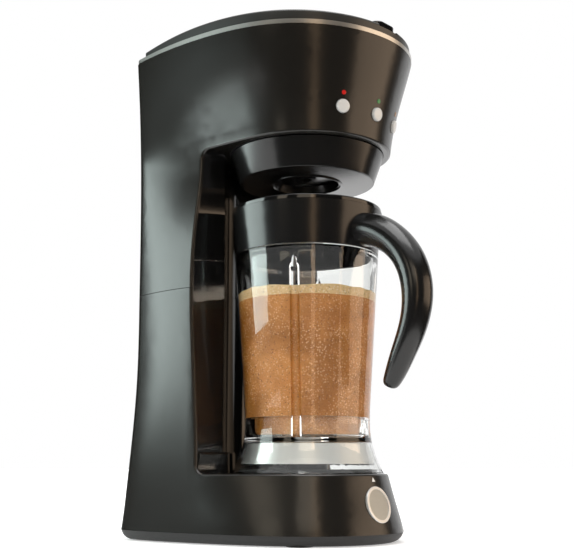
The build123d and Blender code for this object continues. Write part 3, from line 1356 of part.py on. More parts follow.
def control_board():
    """The circuit board on its posts, with its relay, capacitor and connector."""
    wide, thick, tall = BOARD_SIZE
    board = Pos(0, BOARD_BACK + thick / 2, BOARD_LOW + tall / 2) * Box(wide, thick, tall)
    front = BOARD_BACK
    board += Pos(-12, front - 6, BOARD_LOW + 18) * Box(14, 12, 18)
    board += Pos(12, front - 7, BOARD_LOW + 42) * (Rot(90, 0, 0) * Cylinder(6, 14))
    board += Pos(14, front - 4, BOARD_LOW + 14) * Box(16, 8, 8)
    return board + Pos(-12, front - 3, BOARD_LOW + 46) * Box(10, 6, 12)


def wire_loom():
    """The wires from the board down and forward to the motor."""
    start = BOARD_LOW + 6
    end = (0, MOTOR_RADIUS + 1, LOOM_LEVEL)
    path = FilletPolyline((0, LOOM_BACK, start), (0, LOOM_BACK, LOOM_LEVEL), end, radius=LOOM_BEND)
    section = Plane(origin=path @ 0, z_dir=path % 0) * Circle(LOOM_RADIUS)
    loom = sweep(section, path=path)
    behind = BOARD_BACK + BOARD_SIZE[1]
    plug = Pos(0, (LOOM_BACK + behind) / 2, start) * Box(10, LOOM_BACK - behind, 6)
    end = Pos(0, MOTOR_RADIUS + 2.6, MOTOR_LOW + 2.2) * Box(9, 6, 6) - disc(MOTOR_RADIUS, 0, 60)
    return loom + plug + end


def cord_grommet():
    """The bush in the rear wall where a mains lead goes in."""
    inside = REAR_DEPTH - WALL
    bush = Cylinder(GROMMET_NECK, WALL)
    ring = Cylinder(GROMMET_RADIUS, GROMMET_FLANGE)
    body = Pos(0, REAR_DEPTH - WALL / 2, 0) * (Rot(90, 0, 0) * bush)
    body += Pos(0, inside - GROMMET_FLANGE / 2, 0) * (Rot(90, 0, 0) * ring)
    bore = Rot(90, 0, 0) * Cylinder(GROMMET_BORE, 400)
    return Pos(GROMMET_X, 0, GROMMET_LEVEL) * (body - bore)


def badge_ring():
    """The pale ring of the badge, let into the base's slope."""
    height = BADGE_SINK + BADGE_PROUD
    ring = Cylinder(BADGE_RADIUS, height, align=STANDING)
    top = ring.edges().group_by(Axis.Z)[-1]
    ring = fillet(top, 0.4)
    ring -= Cylinder(BADGE_RADIUS - BADGE_RING, 3 * height)
    return badge_spot() * (Pos(0, 0, -BADGE_SINK) * ring)


def badge_disc():
    """The plain disc inside the badge's ring."""
    height = BADGE_SINK + BADGE_PROUD - 0.4
    plate = Cylinder(BADGE_RADIUS - BADGE_RING, height, align=STANDING)
    return badge_spot() * (Pos(0, 0, -BADGE_SINK) * plate)


def all_pieces():
    """Every piece by name."""
    outer = housing()
    inner = housing(WALL)
    rim_inner = housing(TANK_FLANGE_INSET, TOP_STATIONS)
    handle = handle_solid()
    zone = cover_zone()
    pieces = {
        "base_shell": base_shell(outer, inner),
        "upper_shell": upper_shell(outer, inner),
        "liner_lower": liner_lower(inner),
        "liner_upper": liner_upper(inner),
        "bottom_cover": bottom_cover(),
        "rubber_feet": rubber_feet(),
        "cover_screws": cover_screws(),
        "top_trim": top_trim(rim_inner),
        "lid_hinge_pins": lid_hinge_pins(),
        "reservoir_lid": reservoir_lid(),
        "lift_tab": lift_tab(),
        "water_tank": water_tank(),
        "feed_hose": feed_hose(),
        "check_valve": check_valve(),
        "flow_heater": flow_heater(),
        "thermostat": thermostat(),
        "riser_hose": riser_hose(),
        "shower_head": shower_head(),
        "basket_ring": basket_ring(),
        "brew_basket": brew_basket(),
        "filter_frame": filter_frame(),
        "filter_mesh": filter_mesh(),
        "switch_bracket": switch_bracket(inner),
        "tact_switches": tact_switches(),
        "jar": jar(),
        "jar_collar": jar_collar(),
        "handle_grip": handle_grip(handle, zone),
        "handle_cover": handle & zone,
        "blade_base": blade_base(),
        "floor_gasket": floor_gasket(),
        "floor_nut": floor_nut(),
        "shaft_bush": shaft_bush(),
        "shaft_seal": shaft_seal(),
        "blade_shaft": blade_shaft(),
        "blade_cross": blade_cross(),
        "cap_nut": cap_nut(),
        "driven_coupling": driven_coupling(),
        "drive_coupling": drive_coupling(),
        "jar_lid": jar_lid(),
        "lid_gasket": lid_gasket(),
        "jar_seat_ring": jar_seat_ring(),
        "spindle_seal": spindle_seal(),
        "motor_can": motor_can(),
        "motor_magnets": motor_magnets(),
        "motor_plate": motor_plate(),
        "motor_bushes": motor_bushes(),
        "motor_isolators": motor_isolators(),
        "motor_screws": motor_screws(),
        "motor_rotor": motor_rotor(),
        "motor_shaft": motor_shaft(),
        "cooling_fan": cooling_fan(),
        "control_board": control_board(),
        "wire_loom": wire_loom(),
        "cord_grommet": cord_grommet(),
        "badge_ring": badge_ring(),
        "badge_disc": badge_disc(),
    }
    for name, angle in BUTTON_ANGLES.items():
        pieces[name + "_button"] = push_button(angle)
    lights = [light_pipe(angle) for angle in BUTTON_ANGLES.values()]
    pieces["light_pipes"] = Compound(lights)
    return pieces


def origin_shift(handle):
    """How far all pieces move in Y, so that the origin is midway from handle to back."""
    return -(handle.bounding_box().min.Y + REAR_DEPTH) / 2


def write(pieces):
    """Write each piece to its own file, moved to the shared origin."""
    os.makedirs("parts", exist_ok=True)
    place = Pos(0, origin_shift(pieces["handle_cover"]), 0)
    for name, piece in pieces.items():
        export_step(place * piece, "parts/" + name + ".step")


if __name__ == "__main__":
    write(all_pieces())
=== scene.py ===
"""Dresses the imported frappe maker: finishes, drink, small marks, and the studio round it."""

import json
import logging
import math
from dataclasses import dataclass, field
from enum import Enum

import bpy
from mathutils import Matrix, Vector

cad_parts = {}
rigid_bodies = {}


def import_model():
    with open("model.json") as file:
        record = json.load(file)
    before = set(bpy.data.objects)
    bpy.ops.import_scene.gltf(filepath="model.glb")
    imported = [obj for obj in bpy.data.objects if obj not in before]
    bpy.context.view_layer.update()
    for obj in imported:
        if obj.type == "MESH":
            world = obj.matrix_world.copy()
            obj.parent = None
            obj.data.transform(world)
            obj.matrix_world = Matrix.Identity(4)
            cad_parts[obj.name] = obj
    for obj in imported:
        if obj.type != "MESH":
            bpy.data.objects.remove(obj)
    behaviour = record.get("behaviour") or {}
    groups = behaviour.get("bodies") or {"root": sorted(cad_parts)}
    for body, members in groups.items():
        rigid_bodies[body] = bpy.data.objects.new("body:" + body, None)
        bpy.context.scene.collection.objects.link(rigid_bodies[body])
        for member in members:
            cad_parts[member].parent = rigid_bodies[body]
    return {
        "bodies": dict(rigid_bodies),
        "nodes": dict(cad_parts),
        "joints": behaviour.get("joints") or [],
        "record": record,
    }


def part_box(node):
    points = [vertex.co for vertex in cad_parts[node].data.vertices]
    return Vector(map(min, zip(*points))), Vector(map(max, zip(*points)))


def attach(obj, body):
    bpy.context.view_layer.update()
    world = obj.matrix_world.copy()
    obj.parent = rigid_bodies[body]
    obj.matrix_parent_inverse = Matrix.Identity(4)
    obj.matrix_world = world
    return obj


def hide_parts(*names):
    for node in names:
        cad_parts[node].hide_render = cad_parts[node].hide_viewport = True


LOG = logging.getLogger("frappe_maker")

MM = 0.001

# Points of a CAD mesh closer than this are one point, in metres
MERGE_REACH = 0.000002

# Creases sharper than these stay sharp, in degrees
SKIN_CREASE = 28.0
LENS_CREASE = 30.0
DRINK_CREASE = 40.0

# Points this near a piece's highest point belong to its top, in metres
TOP_REACH = 0.0001

Colour = tuple[float, float, float]
Point = tuple[float, float, float]


class Body(Enum):
    """The CAD bodies that the new pieces ride on."""

    HOUSING = "housing"
    JAR = "jar_body"


class Texture(Enum):
    """The small relief that a finish carries."""

    SMOOTH = "smooth"
    MOULDED = "moulded"
    BRUSHED = "brushed"
    CAST = "cast"
    MESH = "mesh"


# Shared helpers


def deselect() -> None:
    """Deselects every object."""
    bpy.ops.object.select_all(action="DESELECT")


def choose(piece: bpy.types.Object) -> None:
    """Selects one object alone and makes it active.

    Args:
        piece: The object to work on.
    """
    deselect()
    piece.select_set(True)
    bpy.context.view_layer.objects.active = piece


def settle(piece: bpy.types.Object) -> None:
    """Puts a piece's place into its mesh, so that its object sits at the origin.

    Args:
        piece: The finished piece.
    """
    choose(piece)
    bpy.ops.object.transform_apply(location=True, rotation=True, scale=True)


def smooth(piece: bpy.types.Object, angle: float) -> None:
    """Shades a piece smooth, apart from edges sharper than an angle.

    Args:
        piece: The piece to shade.
        angle: The sharpest angle that stays smooth, in degrees.
    """
    choose(piece)
    bpy.ops.object.shade_smooth_by_angle(angle=math.radians(angle))


def centre_of(node: str) -> Vector:
    """Middle of a CAD node's box."""
    low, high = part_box(node)
    return (low + high) / 2


def opaque(colour: Colour) -> tuple[float, float, float, float]:
    """A colour with full alpha, as a shader's socket takes it."""
    return (*colour, 1.0)


class Recipe:
    """One material's node tree, with short ways to add the nodes that the finishes share."""

    def __init__(self, name: str) -> None:
        """Starts a material.

        Args:
            name: The material's name.
        """
        self.made = bpy.data.materials.new(name)
        self.made.use_nodes = True
        self.nodes = self.made.node_tree.nodes
        self.links = self.made.node_tree.links
        self.shader = self.nodes["Principled BSDF"]

    def set(self, **values: float | Colour) -> None:
        """Sets plain values on the shader's own sockets.

        Args:
            **values: Each socket's name, with _ for a space, and its value.
        """
        for label, value in values.items():
            self.shader.inputs[label.replace("_", " ")].default_value = value

    def add(self, kind: str, **values: float) -> bpy.types.Node:
        """Adds a node with plain values.

        Args:
            kind: The node's type, without the word that every shader node starts with.
            **values: Each input's name, with _ for a space, and its value.

        Returns:
            The new node.
        """
        node = self.nodes.new("ShaderNode" + kind)
        for label, value in values.items():
            node.inputs[label.replace("_", " ")].default_value = value
        return node

    def group(self, tree: bpy.types.NodeTree, **values: float) -> bpy.types.Node:
        """Places a shared node group.

        Args:
            tree: The group.
            **values: Each input's name, with _ for a space, and its value.

        Returns:
            The group's node.
        """
        node = self.nodes.new("ShaderNodeGroup")
        node.node_tree = tree
        for label, value in values.items():
            node.inputs[label.replace("_", " ")].default_value = value
        return node

    def mix(self, share: bpy.types.NodeSocket) -> bpy.types.Node:
        """Adds a mix of two colours.

        Args:
            share: How much of the second colour shows.

        Returns:
            The mix node, whose sockets A and B are the colours.
        """
        node = self.nodes.new("ShaderNodeMix")
        node.data_type = "RGBA"
        self.links.new(share, node.inputs["Factor"])
        return node

    def relief(self, height: bpy.types.NodeSocket, depth: float, strength: float = 1.0) -> None:
        """Gives the surface a relief.

        Args:
            height: The pattern that stands up.
            depth: The relief's depth, in millimetres.
            strength: How strongly it shows.
        """
        bump = self.add("Bump", Strength=strength, Distance=depth * MM)
        self.links.new(height, bump.inputs["Height"])
        self.links.new(bump.outputs["Normal"], self.shader.inputs["Normal"])


GRAIN_DETAIL = 3.0
HANDLING_DETAIL = 4.0
NOISE_MIDDLE = 0.5


@dataclass(frozen=True)
class Groups:
    """Shader node groups that several finishes share."""

    grain: bpy.types.NodeTree
    handling: bpy.types.NodeTree

    @staticmethod
    def _new(name: str, inputs: dict[str, float], outputs: list[str]) -> bpy.types.NodeTree:
        """Starts a group with named number sockets.

        Args:
            name: The group's name.
            inputs: Each input's name and usual value.
            outputs: The outputs' names.

        Returns:
            The empty group.
        """
        tree = bpy.data.node_groups.new(name, "ShaderNodeTree")
        for label, value in inputs.items():
            socket = tree.interface.new_socket(name=label, in_out="INPUT",
                                               socket_type="NodeSocketFloat")
            socket.default_value = value
        for label in outputs:
            tree.interface.new_socket(name=label, in_out="OUTPUT", socket_type="NodeSocketFloat")
        return tree

    @classmethod
    def build(cls) -> "Groups":
        """Builds both groups.

        Returns:
            The finished groups.
        """
        return cls(cls._grain(), cls._handling())

    @classmethod
    def _grain(cls) -> bpy.types.NodeTree:
        """Fine relief, drawn out along X, Y or Z by its three scales."""
        usual = {"Scale X": 900.0, "Scale Y": 900.0, "Scale Z": 900.0}
        tree = cls._new("fine_grain", usual, ["Height"])
        nodes, links = tree.nodes, tree.links
        entry = nodes.new("NodeGroupInput")
        leave = nodes.new("NodeGroupOutput")
        place = nodes.new("ShaderNodeTexCoord")
        scales = nodes.new("ShaderNodeCombineXYZ")
        stretch = nodes.new("ShaderNodeVectorMath")
        stretch.operation = "MULTIPLY"
        noise = nodes.new("ShaderNodeTexNoise")
        noise.inputs["Scale"].default_value = 1.0
        noise.inputs["Detail"].default_value = GRAIN_DETAIL
        for axis in "XYZ":
            links.new(entry.outputs[f"Scale {axis}"], scales.inputs[axis])
        links.new(place.outputs["Object"], stretch.inputs[0])
        links.new(scales.outputs["Vector"], stretch.inputs[1])
        links.new(stretch.outputs["Vector"], noise.inputs["Vector"])
        links.new(noise.outputs["Fac"], leave.inputs["Height"])
        return tree

    @classmethod
    def _handling(cls) -> bpy.types.NodeTree:
        """Roughness that drifts a little, as on a surface that hands have wiped."""
        usual = {"Roughness": 0.3, "Drift": 0.05, "Scale": 14.0}
        tree = cls._new("handling_marks", usual, ["Roughness"])
        nodes, links = tree.nodes, tree.links
        entry = nodes.new("NodeGroupInput")
        leave = nodes.new("NodeGroupOutput")
        place = nodes.new("ShaderNodeTexCoord")
        noise = nodes.new("ShaderNodeTexNoise")
        noise.inputs["Detail"].default_value = HANDLING_DETAIL
        centred = nodes.new("ShaderNodeMath")
        centred.operation = "SUBTRACT"
        centred.inputs[1].default_value = NOISE_MIDDLE
        scaled = nodes.new("ShaderNodeMath")
        scaled.operation = "MULTIPLY"
        total = nodes.new("ShaderNodeMath")
        total.operation = "ADD"
        total.use_clamp = True
        links.new(place.outputs["Object"], noise.inputs["Vector"])
        links.new(entry.outputs["Scale"], noise.inputs["Scale"])
        links.new(noise.outputs["Fac"], centred.inputs[0])
        links.new(centred.outputs[0], scaled.inputs[0])
        links.new(entry.outputs["Drift"], scaled.inputs[1])
        links.new(scaled.outputs[0], total.inputs[0])
        links.new(entry.outputs["Roughness"], total.inputs[1])
        links.new(total.outputs[0], leave.inputs["Roughness"])
        return tree


COAT_ROUGHNESS = 0.06


@dataclass(frozen=True)
class Finish:
    """An opaque surface: moulded plastic, metal or rubber.

    The tint is how far the colour drifts with the grain, as a share of it, the drift is how far the
    roughness drifts, and the relief is the grain's depth, in millimetres.
    """

    name: str
    colour: Colour
    roughness: float = 0.35
    metallic: float = 0.0
    coat: float = 0.0
    drift: float = 0.04
    tint: float = 0.08
    texture: Texture = Texture.MOULDED
    relief: float = 0.02

    def scales(self) -> Colour:
        """Grain scales per metre for the finish's texture."""
        return {
            Texture.SMOOTH: (300.0, 300.0, 300.0),
            Texture.MOULDED: (1400.0, 1400.0, 1400.0),
            Texture.BRUSHED: (90.0, 90.0, 3200.0),
            Texture.CAST: (600.0, 600.0, 600.0),
            Texture.MESH: (5200.0, 5200.0, 5200.0),
        }[self.texture]

    def material(self, groups: Groups) -> bpy.types.Material:
        """Builds the finish as a material.

        Args:
            groups: The shared node groups.

        Returns:
            The material.
        """
        recipe = Recipe(self.name)
        links, shader = recipe.links, recipe.shader
        recipe.set(Metallic=self.metallic, Coat_Weight=self.coat, Coat_Roughness=COAT_ROUGHNESS)
        across, along, up = self.scales()
        grain = recipe.group(groups.grain, Scale_X=across, Scale_Y=along, Scale_Z=up)
        wiped = recipe.group(groups.handling, Roughness=self.roughness, Drift=self.drift)
        links.new(wiped.outputs["Roughness"], shader.inputs["Roughness"])
        mix = recipe.mix(grain.outputs["Height"])
        mix.inputs["A"].default_value = opaque(tuple(c * (1 - self.tint) for c in self.colour))
        lifted = tuple(min(c * (1 + self.tint), 1.0) for c in self.colour)
        mix.inputs["B"].default_value = opaque(lifted)
        links.new(mix.outputs["Result"], shader.inputs["Base Color"])
        recipe.relief(grain.outputs["Height"], self.relief)
        return recipe.made


@dataclass(frozen=True)
class Clear:
    """Clear or tinted plastic that light goes through; a glow above nought is painted glow."""

    name: str
    colour: Colour = (0.97, 0.98, 0.97)
    roughness: float = 0.03
    glow: float = 0.0
    drift: float = 0.03
    refraction: float = 1.49
    wave_scale: float = 60.0
    wave_depth: float = 0.05

    def material(self, groups: Groups) -> bpy.types.Material:
        """Builds the clear plastic.

        Args:
            groups: The shared node groups.

        Returns:
            The material.
        """
        recipe = Recipe(self.name)
        recipe.set(Base_Color=opaque(self.colour), IOR=self.refraction, Transmission_Weight=1.0)
        # Painted glow: the plastic gives off its own colour, with no lamp behind it
        if self.glow:
            recipe.set(Emission_Color=opaque(self.colour), Emission_Strength=self.glow)
        wiped = recipe.group(groups.handling, Roughness=self.roughness, Drift=self.drift)
        recipe.links.new(wiped.outputs["Roughness"], recipe.shader.inputs["Roughness"])
        wave = self.wave_scale
        grain = recipe.group(groups.grain, Scale_X=wave, Scale_Y=wave, Scale_Z=wave)
        recipe.relief(grain.outputs["Height"], self.wave_depth)
        return recipe.made


@dataclass(frozen=True)
class Frappe:
    """The blended drink: warm brown, full of fine bubbles and dark specks, paler where it froths.

    Scales are per metre, each span is where a pattern starts and ends to show, and the relief is in
    millimetres.
    """

    name: str
    body: Colour
    deep: Colour
    froth: Colour
    froth_share: float
    roughness: float = 0.35
    scatter: float = 0.12
    scatter_reach: Point = (0.004, 0.002, 0.001)
    cloud_scale: float = 34.0
    cloud_detail: float = 5.0
    cloud_roughness: float = 0.6
    cloud_span: tuple[float, float] = (0.38, 0.62)
    bubble_scale: float = 620.0
    bubble_span: tuple[float, float] = (0.05, 0.42)
    patch_scale: float = 70.0
    patch_detail: float = 6.0
    patch_span: tuple[float, float] = (0.56, 0.78)
    patch_shift: float = 0.4
    speck_scale: float = 900.0
    speck_detail: float = 2.0
    speck_span: tuple[float, float] = (0.62, 0.68)
    speck_strength: float = 0.7
    speck_colour: Colour = (0.12, 0.035, 0.008)
    relief: float = 0.3
    relief_strength: float = 0.6

    def material(self, _groups: Groups) -> bpy.types.Material:
        """Builds the drink's surface, which needs no shared group.

        Returns:
            The material.
        """
        recipe = Recipe(self.name)
        recipe.set(Roughness=self.roughness, Subsurface_Weight=self.scatter, Subsurface_Scale=1.0)
        recipe.set(Subsurface_Radius=self.scatter_reach)
        place = recipe.add("TexCoord").outputs["Object"]
        clouds = recipe.add("TexNoise", Scale=self.cloud_scale, Detail=self.cloud_detail,
                            Roughness=self.cloud_roughness)
        recipe.links.new(place, clouds.inputs["Vector"])
        ramp = recipe.add("ValToRGB")
        ends = zip(ramp.color_ramp.elements, self.cloud_span, (self.deep, self.body))
        for end, spot, colour in ends:
            end.position = spot
            end.color = opaque(colour)
        recipe.links.new(clouds.outputs["Fac"], ramp.inputs["Fac"])
        bubbles = recipe.add("TexVoronoi", Scale=self.bubble_scale)
        recipe.links.new(place, bubbles.inputs["Vector"])
        foamed = recipe.mix(self.bubble_mask(recipe, bubbles.outputs["Distance"], place))
        foamed.inputs["B"].default_value = opaque(self.froth)
        recipe.links.new(ramp.outputs["Color"], foamed.inputs["A"])
        specked = recipe.mix(self.speck_mask(recipe, place))
        specked.inputs["B"].default_value = opaque(self.speck_colour)
        recipe.links.new(foamed.outputs["Result"], specked.inputs["A"])
        recipe.links.new(specked.outputs["Result"], recipe.shader.inputs["Base Color"])
        recipe.relief(bubbles.outputs["Distance"], self.relief, self.relief_strength)
        return recipe.made

    def bubble_mask(self, recipe: Recipe, distance: bpy.types.NodeSocket,
                    place: bpy.types.NodeSocket) -> bpy.types.NodeSocket:
        """Pale middles of the bubbles, in patches.

        Args:
            recipe: The material in the making.
            distance: The distance from each bubble's middle.
            place: The object's coordinates.

        Returns:
            One where froth shows, nought where it doesn't.
        """
        near, far = self.bubble_span
        middles = recipe.add("MapRange", From_Min=near, From_Max=far, To_Min=1.0, To_Max=0.0)
        recipe.links.new(distance, middles.inputs["Value"])
        patches = recipe.add("TexNoise", Scale=self.patch_scale, Detail=self.patch_detail)
        recipe.links.new(place, patches.inputs["Vector"])
        shift = self.patch_shift * self.froth_share
        thin, thick = self.patch_span
        share = recipe.add("MapRange", From_Min=thin - shift, From_Max=thick - shift)
        recipe.links.new(patches.outputs["Fac"], share.inputs["Value"])
        frothy = recipe.add("Math")
        frothy.operation = "MULTIPLY"
        recipe.links.new(middles.outputs["Result"], frothy.inputs[0])
        recipe.links.new(share.outputs["Result"], frothy.inputs[1])
        return frothy.outputs[0]

    def speck_mask(self, recipe: Recipe, place: bpy.types.NodeSocket) -> bpy.types.NodeSocket:
        """Dark coffee specks.

        Args:
            recipe: The material in the making.
            place: The object's coordinates.

        Returns:
            How strongly the specks show.
        """
        specks = recipe.add("TexNoise", Scale=self.speck_scale, Detail=self.speck_detail)
        recipe.links.new(place, specks.inputs["Vector"])
        start, end = self.speck_span
        mask = recipe.add("MapRange", From_Min=start, From_Max=end, To_Max=self.speck_strength)
        recipe.links.new(specks.outputs["Fac"], mask.inputs["Value"])
        return mask.outputs["Result"]


HOUSING = Finish("dark_housing_plastic", (0.011, 0.010, 0.0085), roughness=0.24, drift=0.02,
                 relief=0.001)
LINER = Finish("gloss_black_plastic", (0.006, 0.006, 0.006), roughness=0.09, drift=0.03,
               relief=0.002)
UNDERSIDE = Finish("matt_black_plastic", (0.012, 0.012, 0.012), roughness=0.55, relief=0.03)
SOFT = Finish("black_rubber", (0.014, 0.014, 0.014), roughness=0.75, texture=Texture.CAST,
              relief=0.03)
TRIM = Finish("silver_trim", (0.56, 0.56, 0.54), roughness=0.32, metallic=0.85, relief=0.004)
LID = Finish("graphite_lid_plastic", (0.03, 0.031, 0.03), roughness=0.34, drift=0.03, relief=0.005)
SMOKED = Finish("smoked_tank_plastic", (0.16, 0.165, 0.17), roughness=0.22)
SATIN = Finish("satin_black_plastic", (0.008, 0.008, 0.008), roughness=0.21, drift=0.04,
               relief=0.003)
PALE_SEAL = Finish("pale_seal_silicone", (0.7, 0.64, 0.5), roughness=0.4, texture=Texture.SMOOTH)
SILICONE = Finish("silicone_hose", (0.62, 0.6, 0.55), roughness=0.45, texture=Texture.SMOOTH)
WHITE = Finish("white_plastic", (0.7, 0.7, 0.68), roughness=0.45)
ALUMINIUM = Finish("cast_aluminium", (0.6, 0.6, 0.59), roughness=0.42, metallic=1.0,
                   texture=Texture.CAST, relief=0.06)
STEEL = Finish("bright_steel", (0.58, 0.58, 0.57), roughness=0.25, metallic=1.0,
               texture=Texture.BRUSHED, relief=0.006)
INNER = Finish("inner_black_plastic", (0.02, 0.02, 0.02), roughness=0.4)
BUTTON = Finish("pale_button_plastic", (0.62, 0.63, 0.62), roughness=0.3, coat=0.3, relief=0.003)
WEAVE = Finish("gold_filter_mesh", (0.6, 0.47, 0.2), roughness=0.4, metallic=1.0,
               texture=Texture.MESH, relief=0.12)
SILVER_CUP = Finish("silver_blade_cup", (0.56, 0.56, 0.54), roughness=0.38, metallic=0.7,
                    relief=0.006)
GREY = Finish("grey_plastic", (0.36, 0.36, 0.36), roughness=0.4)
BRONZE = Finish("sintered_bronze", (0.45, 0.3, 0.12), roughness=0.5, metallic=1.0,
                texture=Texture.CAST)
BOARD = Finish("circuit_board_green", (0.02, 0.14, 0.05), roughness=0.4)
WIRES = Finish("red_wire_cover", (0.4, 0.03, 0.02), roughness=0.4, texture=Texture.SMOOTH)
IRON = Finish("varnished_iron", (0.12, 0.1, 0.08), roughness=0.5, metallic=0.6,
              texture=Texture.CAST)
BADGE_RING = Finish("badge_ring_silver", (0.75, 0.75, 0.73), roughness=0.28, metallic=0.5,
                    relief=0.004)
BADGE_FACE = Finish("badge_face_silver", (0.4, 0.41, 0.39), roughness=0.36, metallic=0.6,
                    texture=Texture.BRUSHED, relief=0.008)
MARK = Finish("white_print", (0.8, 0.8, 0.78), roughness=0.5, texture=Texture.SMOOTH, relief=0.002)
JAR = Clear("clear_jar_plastic")
# The lenses' glow is painted glow: the lenses give off light, though no lamp sits behind them
RED_PAINTED_GLOW_LENS = Clear("red_lens_painted_glow", (0.75, 0.05, 0.04), roughness=0.12, glow=0.25)
GREEN_PAINTED_GLOW_LENS = Clear("green_lens_painted_glow", (0.05, 0.45, 0.15), roughness=0.12, glow=0.15)
AMBER_PAINTED_GLOW_LENS = Clear("amber_lens_painted_glow", (0.8, 0.35, 0.04), roughness=0.12, glow=0.1)
DRINK = Frappe("blended_coffee", (0.62, 0.27, 0.066), (0.38, 0.145, 0.02), (0.9, 0.6, 0.34), 0.55)
FROTH = Frappe("coffee_froth", (0.78, 0.58, 0.31), (0.64, 0.43, 0.19), (0.92, 0.82, 0.62), 1.0)

SHOWN_FINISHES: dict[Finish | Clear, tuple[str, ...]] = {
    HOUSING: ("base_shell", "upper_shell"),
    LINER: ("liner_lower", "liner_upper", "lift_tab", "jar_lid"),
    SATIN: ("brew_basket", "jar_collar", "handle_grip", "handle_cover"),
    UNDERSIDE: ("bottom_cover",),
    SOFT: ("rubber_feet", "jar_seat_ring", "spindle_seal", "lid_gasket", "shaft_seal",
           "motor_isolators", "cord_grommet"),
    PALE_SEAL: ("floor_gasket",),
    TRIM: ("top_trim",),
    LID: ("reservoir_lid",),
    SMOKED: ("water_tank",),
    SILICONE: ("feed_hose", "riser_hose"),
    WHITE: ("check_valve", "tact_switches"),
    ALUMINIUM: ("flow_heater", "thermostat"),
    STEEL: ("cover_screws", "motor_screws", "lid_hinge_pins", "blade_cross", "cap_nut",
            "blade_shaft", "motor_shaft", "motor_can", "motor_plate"),
    INNER: ("basket_ring", "shower_head", "switch_bracket", "cooling_fan", "filter_frame",
            "drive_coupling", "driven_coupling"),
    BUTTON: ("power_button", "brew_button", "blend_button"),
    WEAVE: ("filter_mesh",),
    SILVER_CUP: ("blade_base",),
    GREY: ("floor_nut",),
    BRONZE: ("shaft_bush", "motor_bushes"),
    BOARD: ("control_board",),
    WIRES: ("wire_loom",),
    IRON: ("motor_magnets", "motor_rotor"),
    BADGE_RING: ("badge_ring",),
    BADGE_FACE: ("badge_disc",),
    JAR: ("jar",),
}

# Nodes whose curved, glossy faces show their facets: each is shown by a smoothed copy
POLISHED = ("base_shell", "upper_shell", "liner_lower", "liner_upper", "lift_tab", "brew_basket",
            "jar_collar", "handle_grip", "handle_cover", "jar_lid", "bottom_cover", "top_trim",
            "reservoir_lid", "water_tank", "power_button", "brew_button", "blend_button",
            "blade_base", "badge_ring", "badge_disc", "jar", "rubber_feet", "filter_frame",
            "blade_cross", "cap_nut", "shower_head", "basket_ring")


@dataclass
class Wardrobe:
    """Gives each CAD node its finish, and each polished node a smoothed copy in its place."""

    frame: dict
    groups: Groups
    materials: dict[str, bpy.types.Material] = field(default_factory=dict)

    def material(self, finish: Finish | Clear | Frappe) -> bpy.types.Material:
        """A finish's material, built once.

        Args:
            finish: The finish wanted.

        Returns:
            Its material.
        """
        if finish.name not in self.materials:
            self.materials[finish.name] = finish.material(self.groups)
        return self.materials[finish.name]

    def paint(self, piece: bpy.types.Object, finish: Finish | Clear | Frappe) -> None:
        """Gives a piece one finish all over.

        Args:
            piece: The piece.
            finish: Its finish.
        """
        piece.data.materials.clear()
        piece.data.materials.append(self.material(finish))

    def dress(self) -> None:
        """Dresses every CAD node."""
        record = self.frame["record"]
        bodies = record["behaviour"]["bodies"]
        owners = {node: body for body, nodes in bodies.items() for node in nodes}
        for finish, nodes in SHOWN_FINISHES.items():
            for node in nodes:
                piece = self.frame["nodes"][node]
                if node in POLISHED:
                    piece = self.polish(node, owners[node])
                self.paint(piece, finish)
                LOG.info("dressed %s in %s", node, finish.name)

    def polish(self, node: str, body: str) -> bpy.types.Object:
        """Makes a smooth-shaded copy of a node, and shows it in the node's place.

        Args:
            node: The CAD node.
            body: The body that carries it.

        Returns:
            The copy.
        """
        source = self.frame["nodes"][node]
        piece = bpy.data.objects.new(node + "_skin", source.data.copy())
        bpy.context.scene.collection.objects.link(piece)
        choose(piece)
        bpy.ops.object.mode_set(mode="EDIT")
        bpy.ops.mesh.select_all(action="SELECT")
        bpy.ops.mesh.remove_doubles(threshold=MERGE_REACH)
        bpy.ops.mesh.customdata_custom_splitnormals_clear()
        bpy.ops.object.mode_set(mode="OBJECT")
        smooth(piece, SKIN_CREASE)
        weight = piece.modifiers.new("even_normals", "WEIGHTED_NORMAL")
        weight.keep_sharp = True
        bpy.ops.object.modifier_apply(modifier=weight.name)
        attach(piece, body)
        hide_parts(node)
        return piece


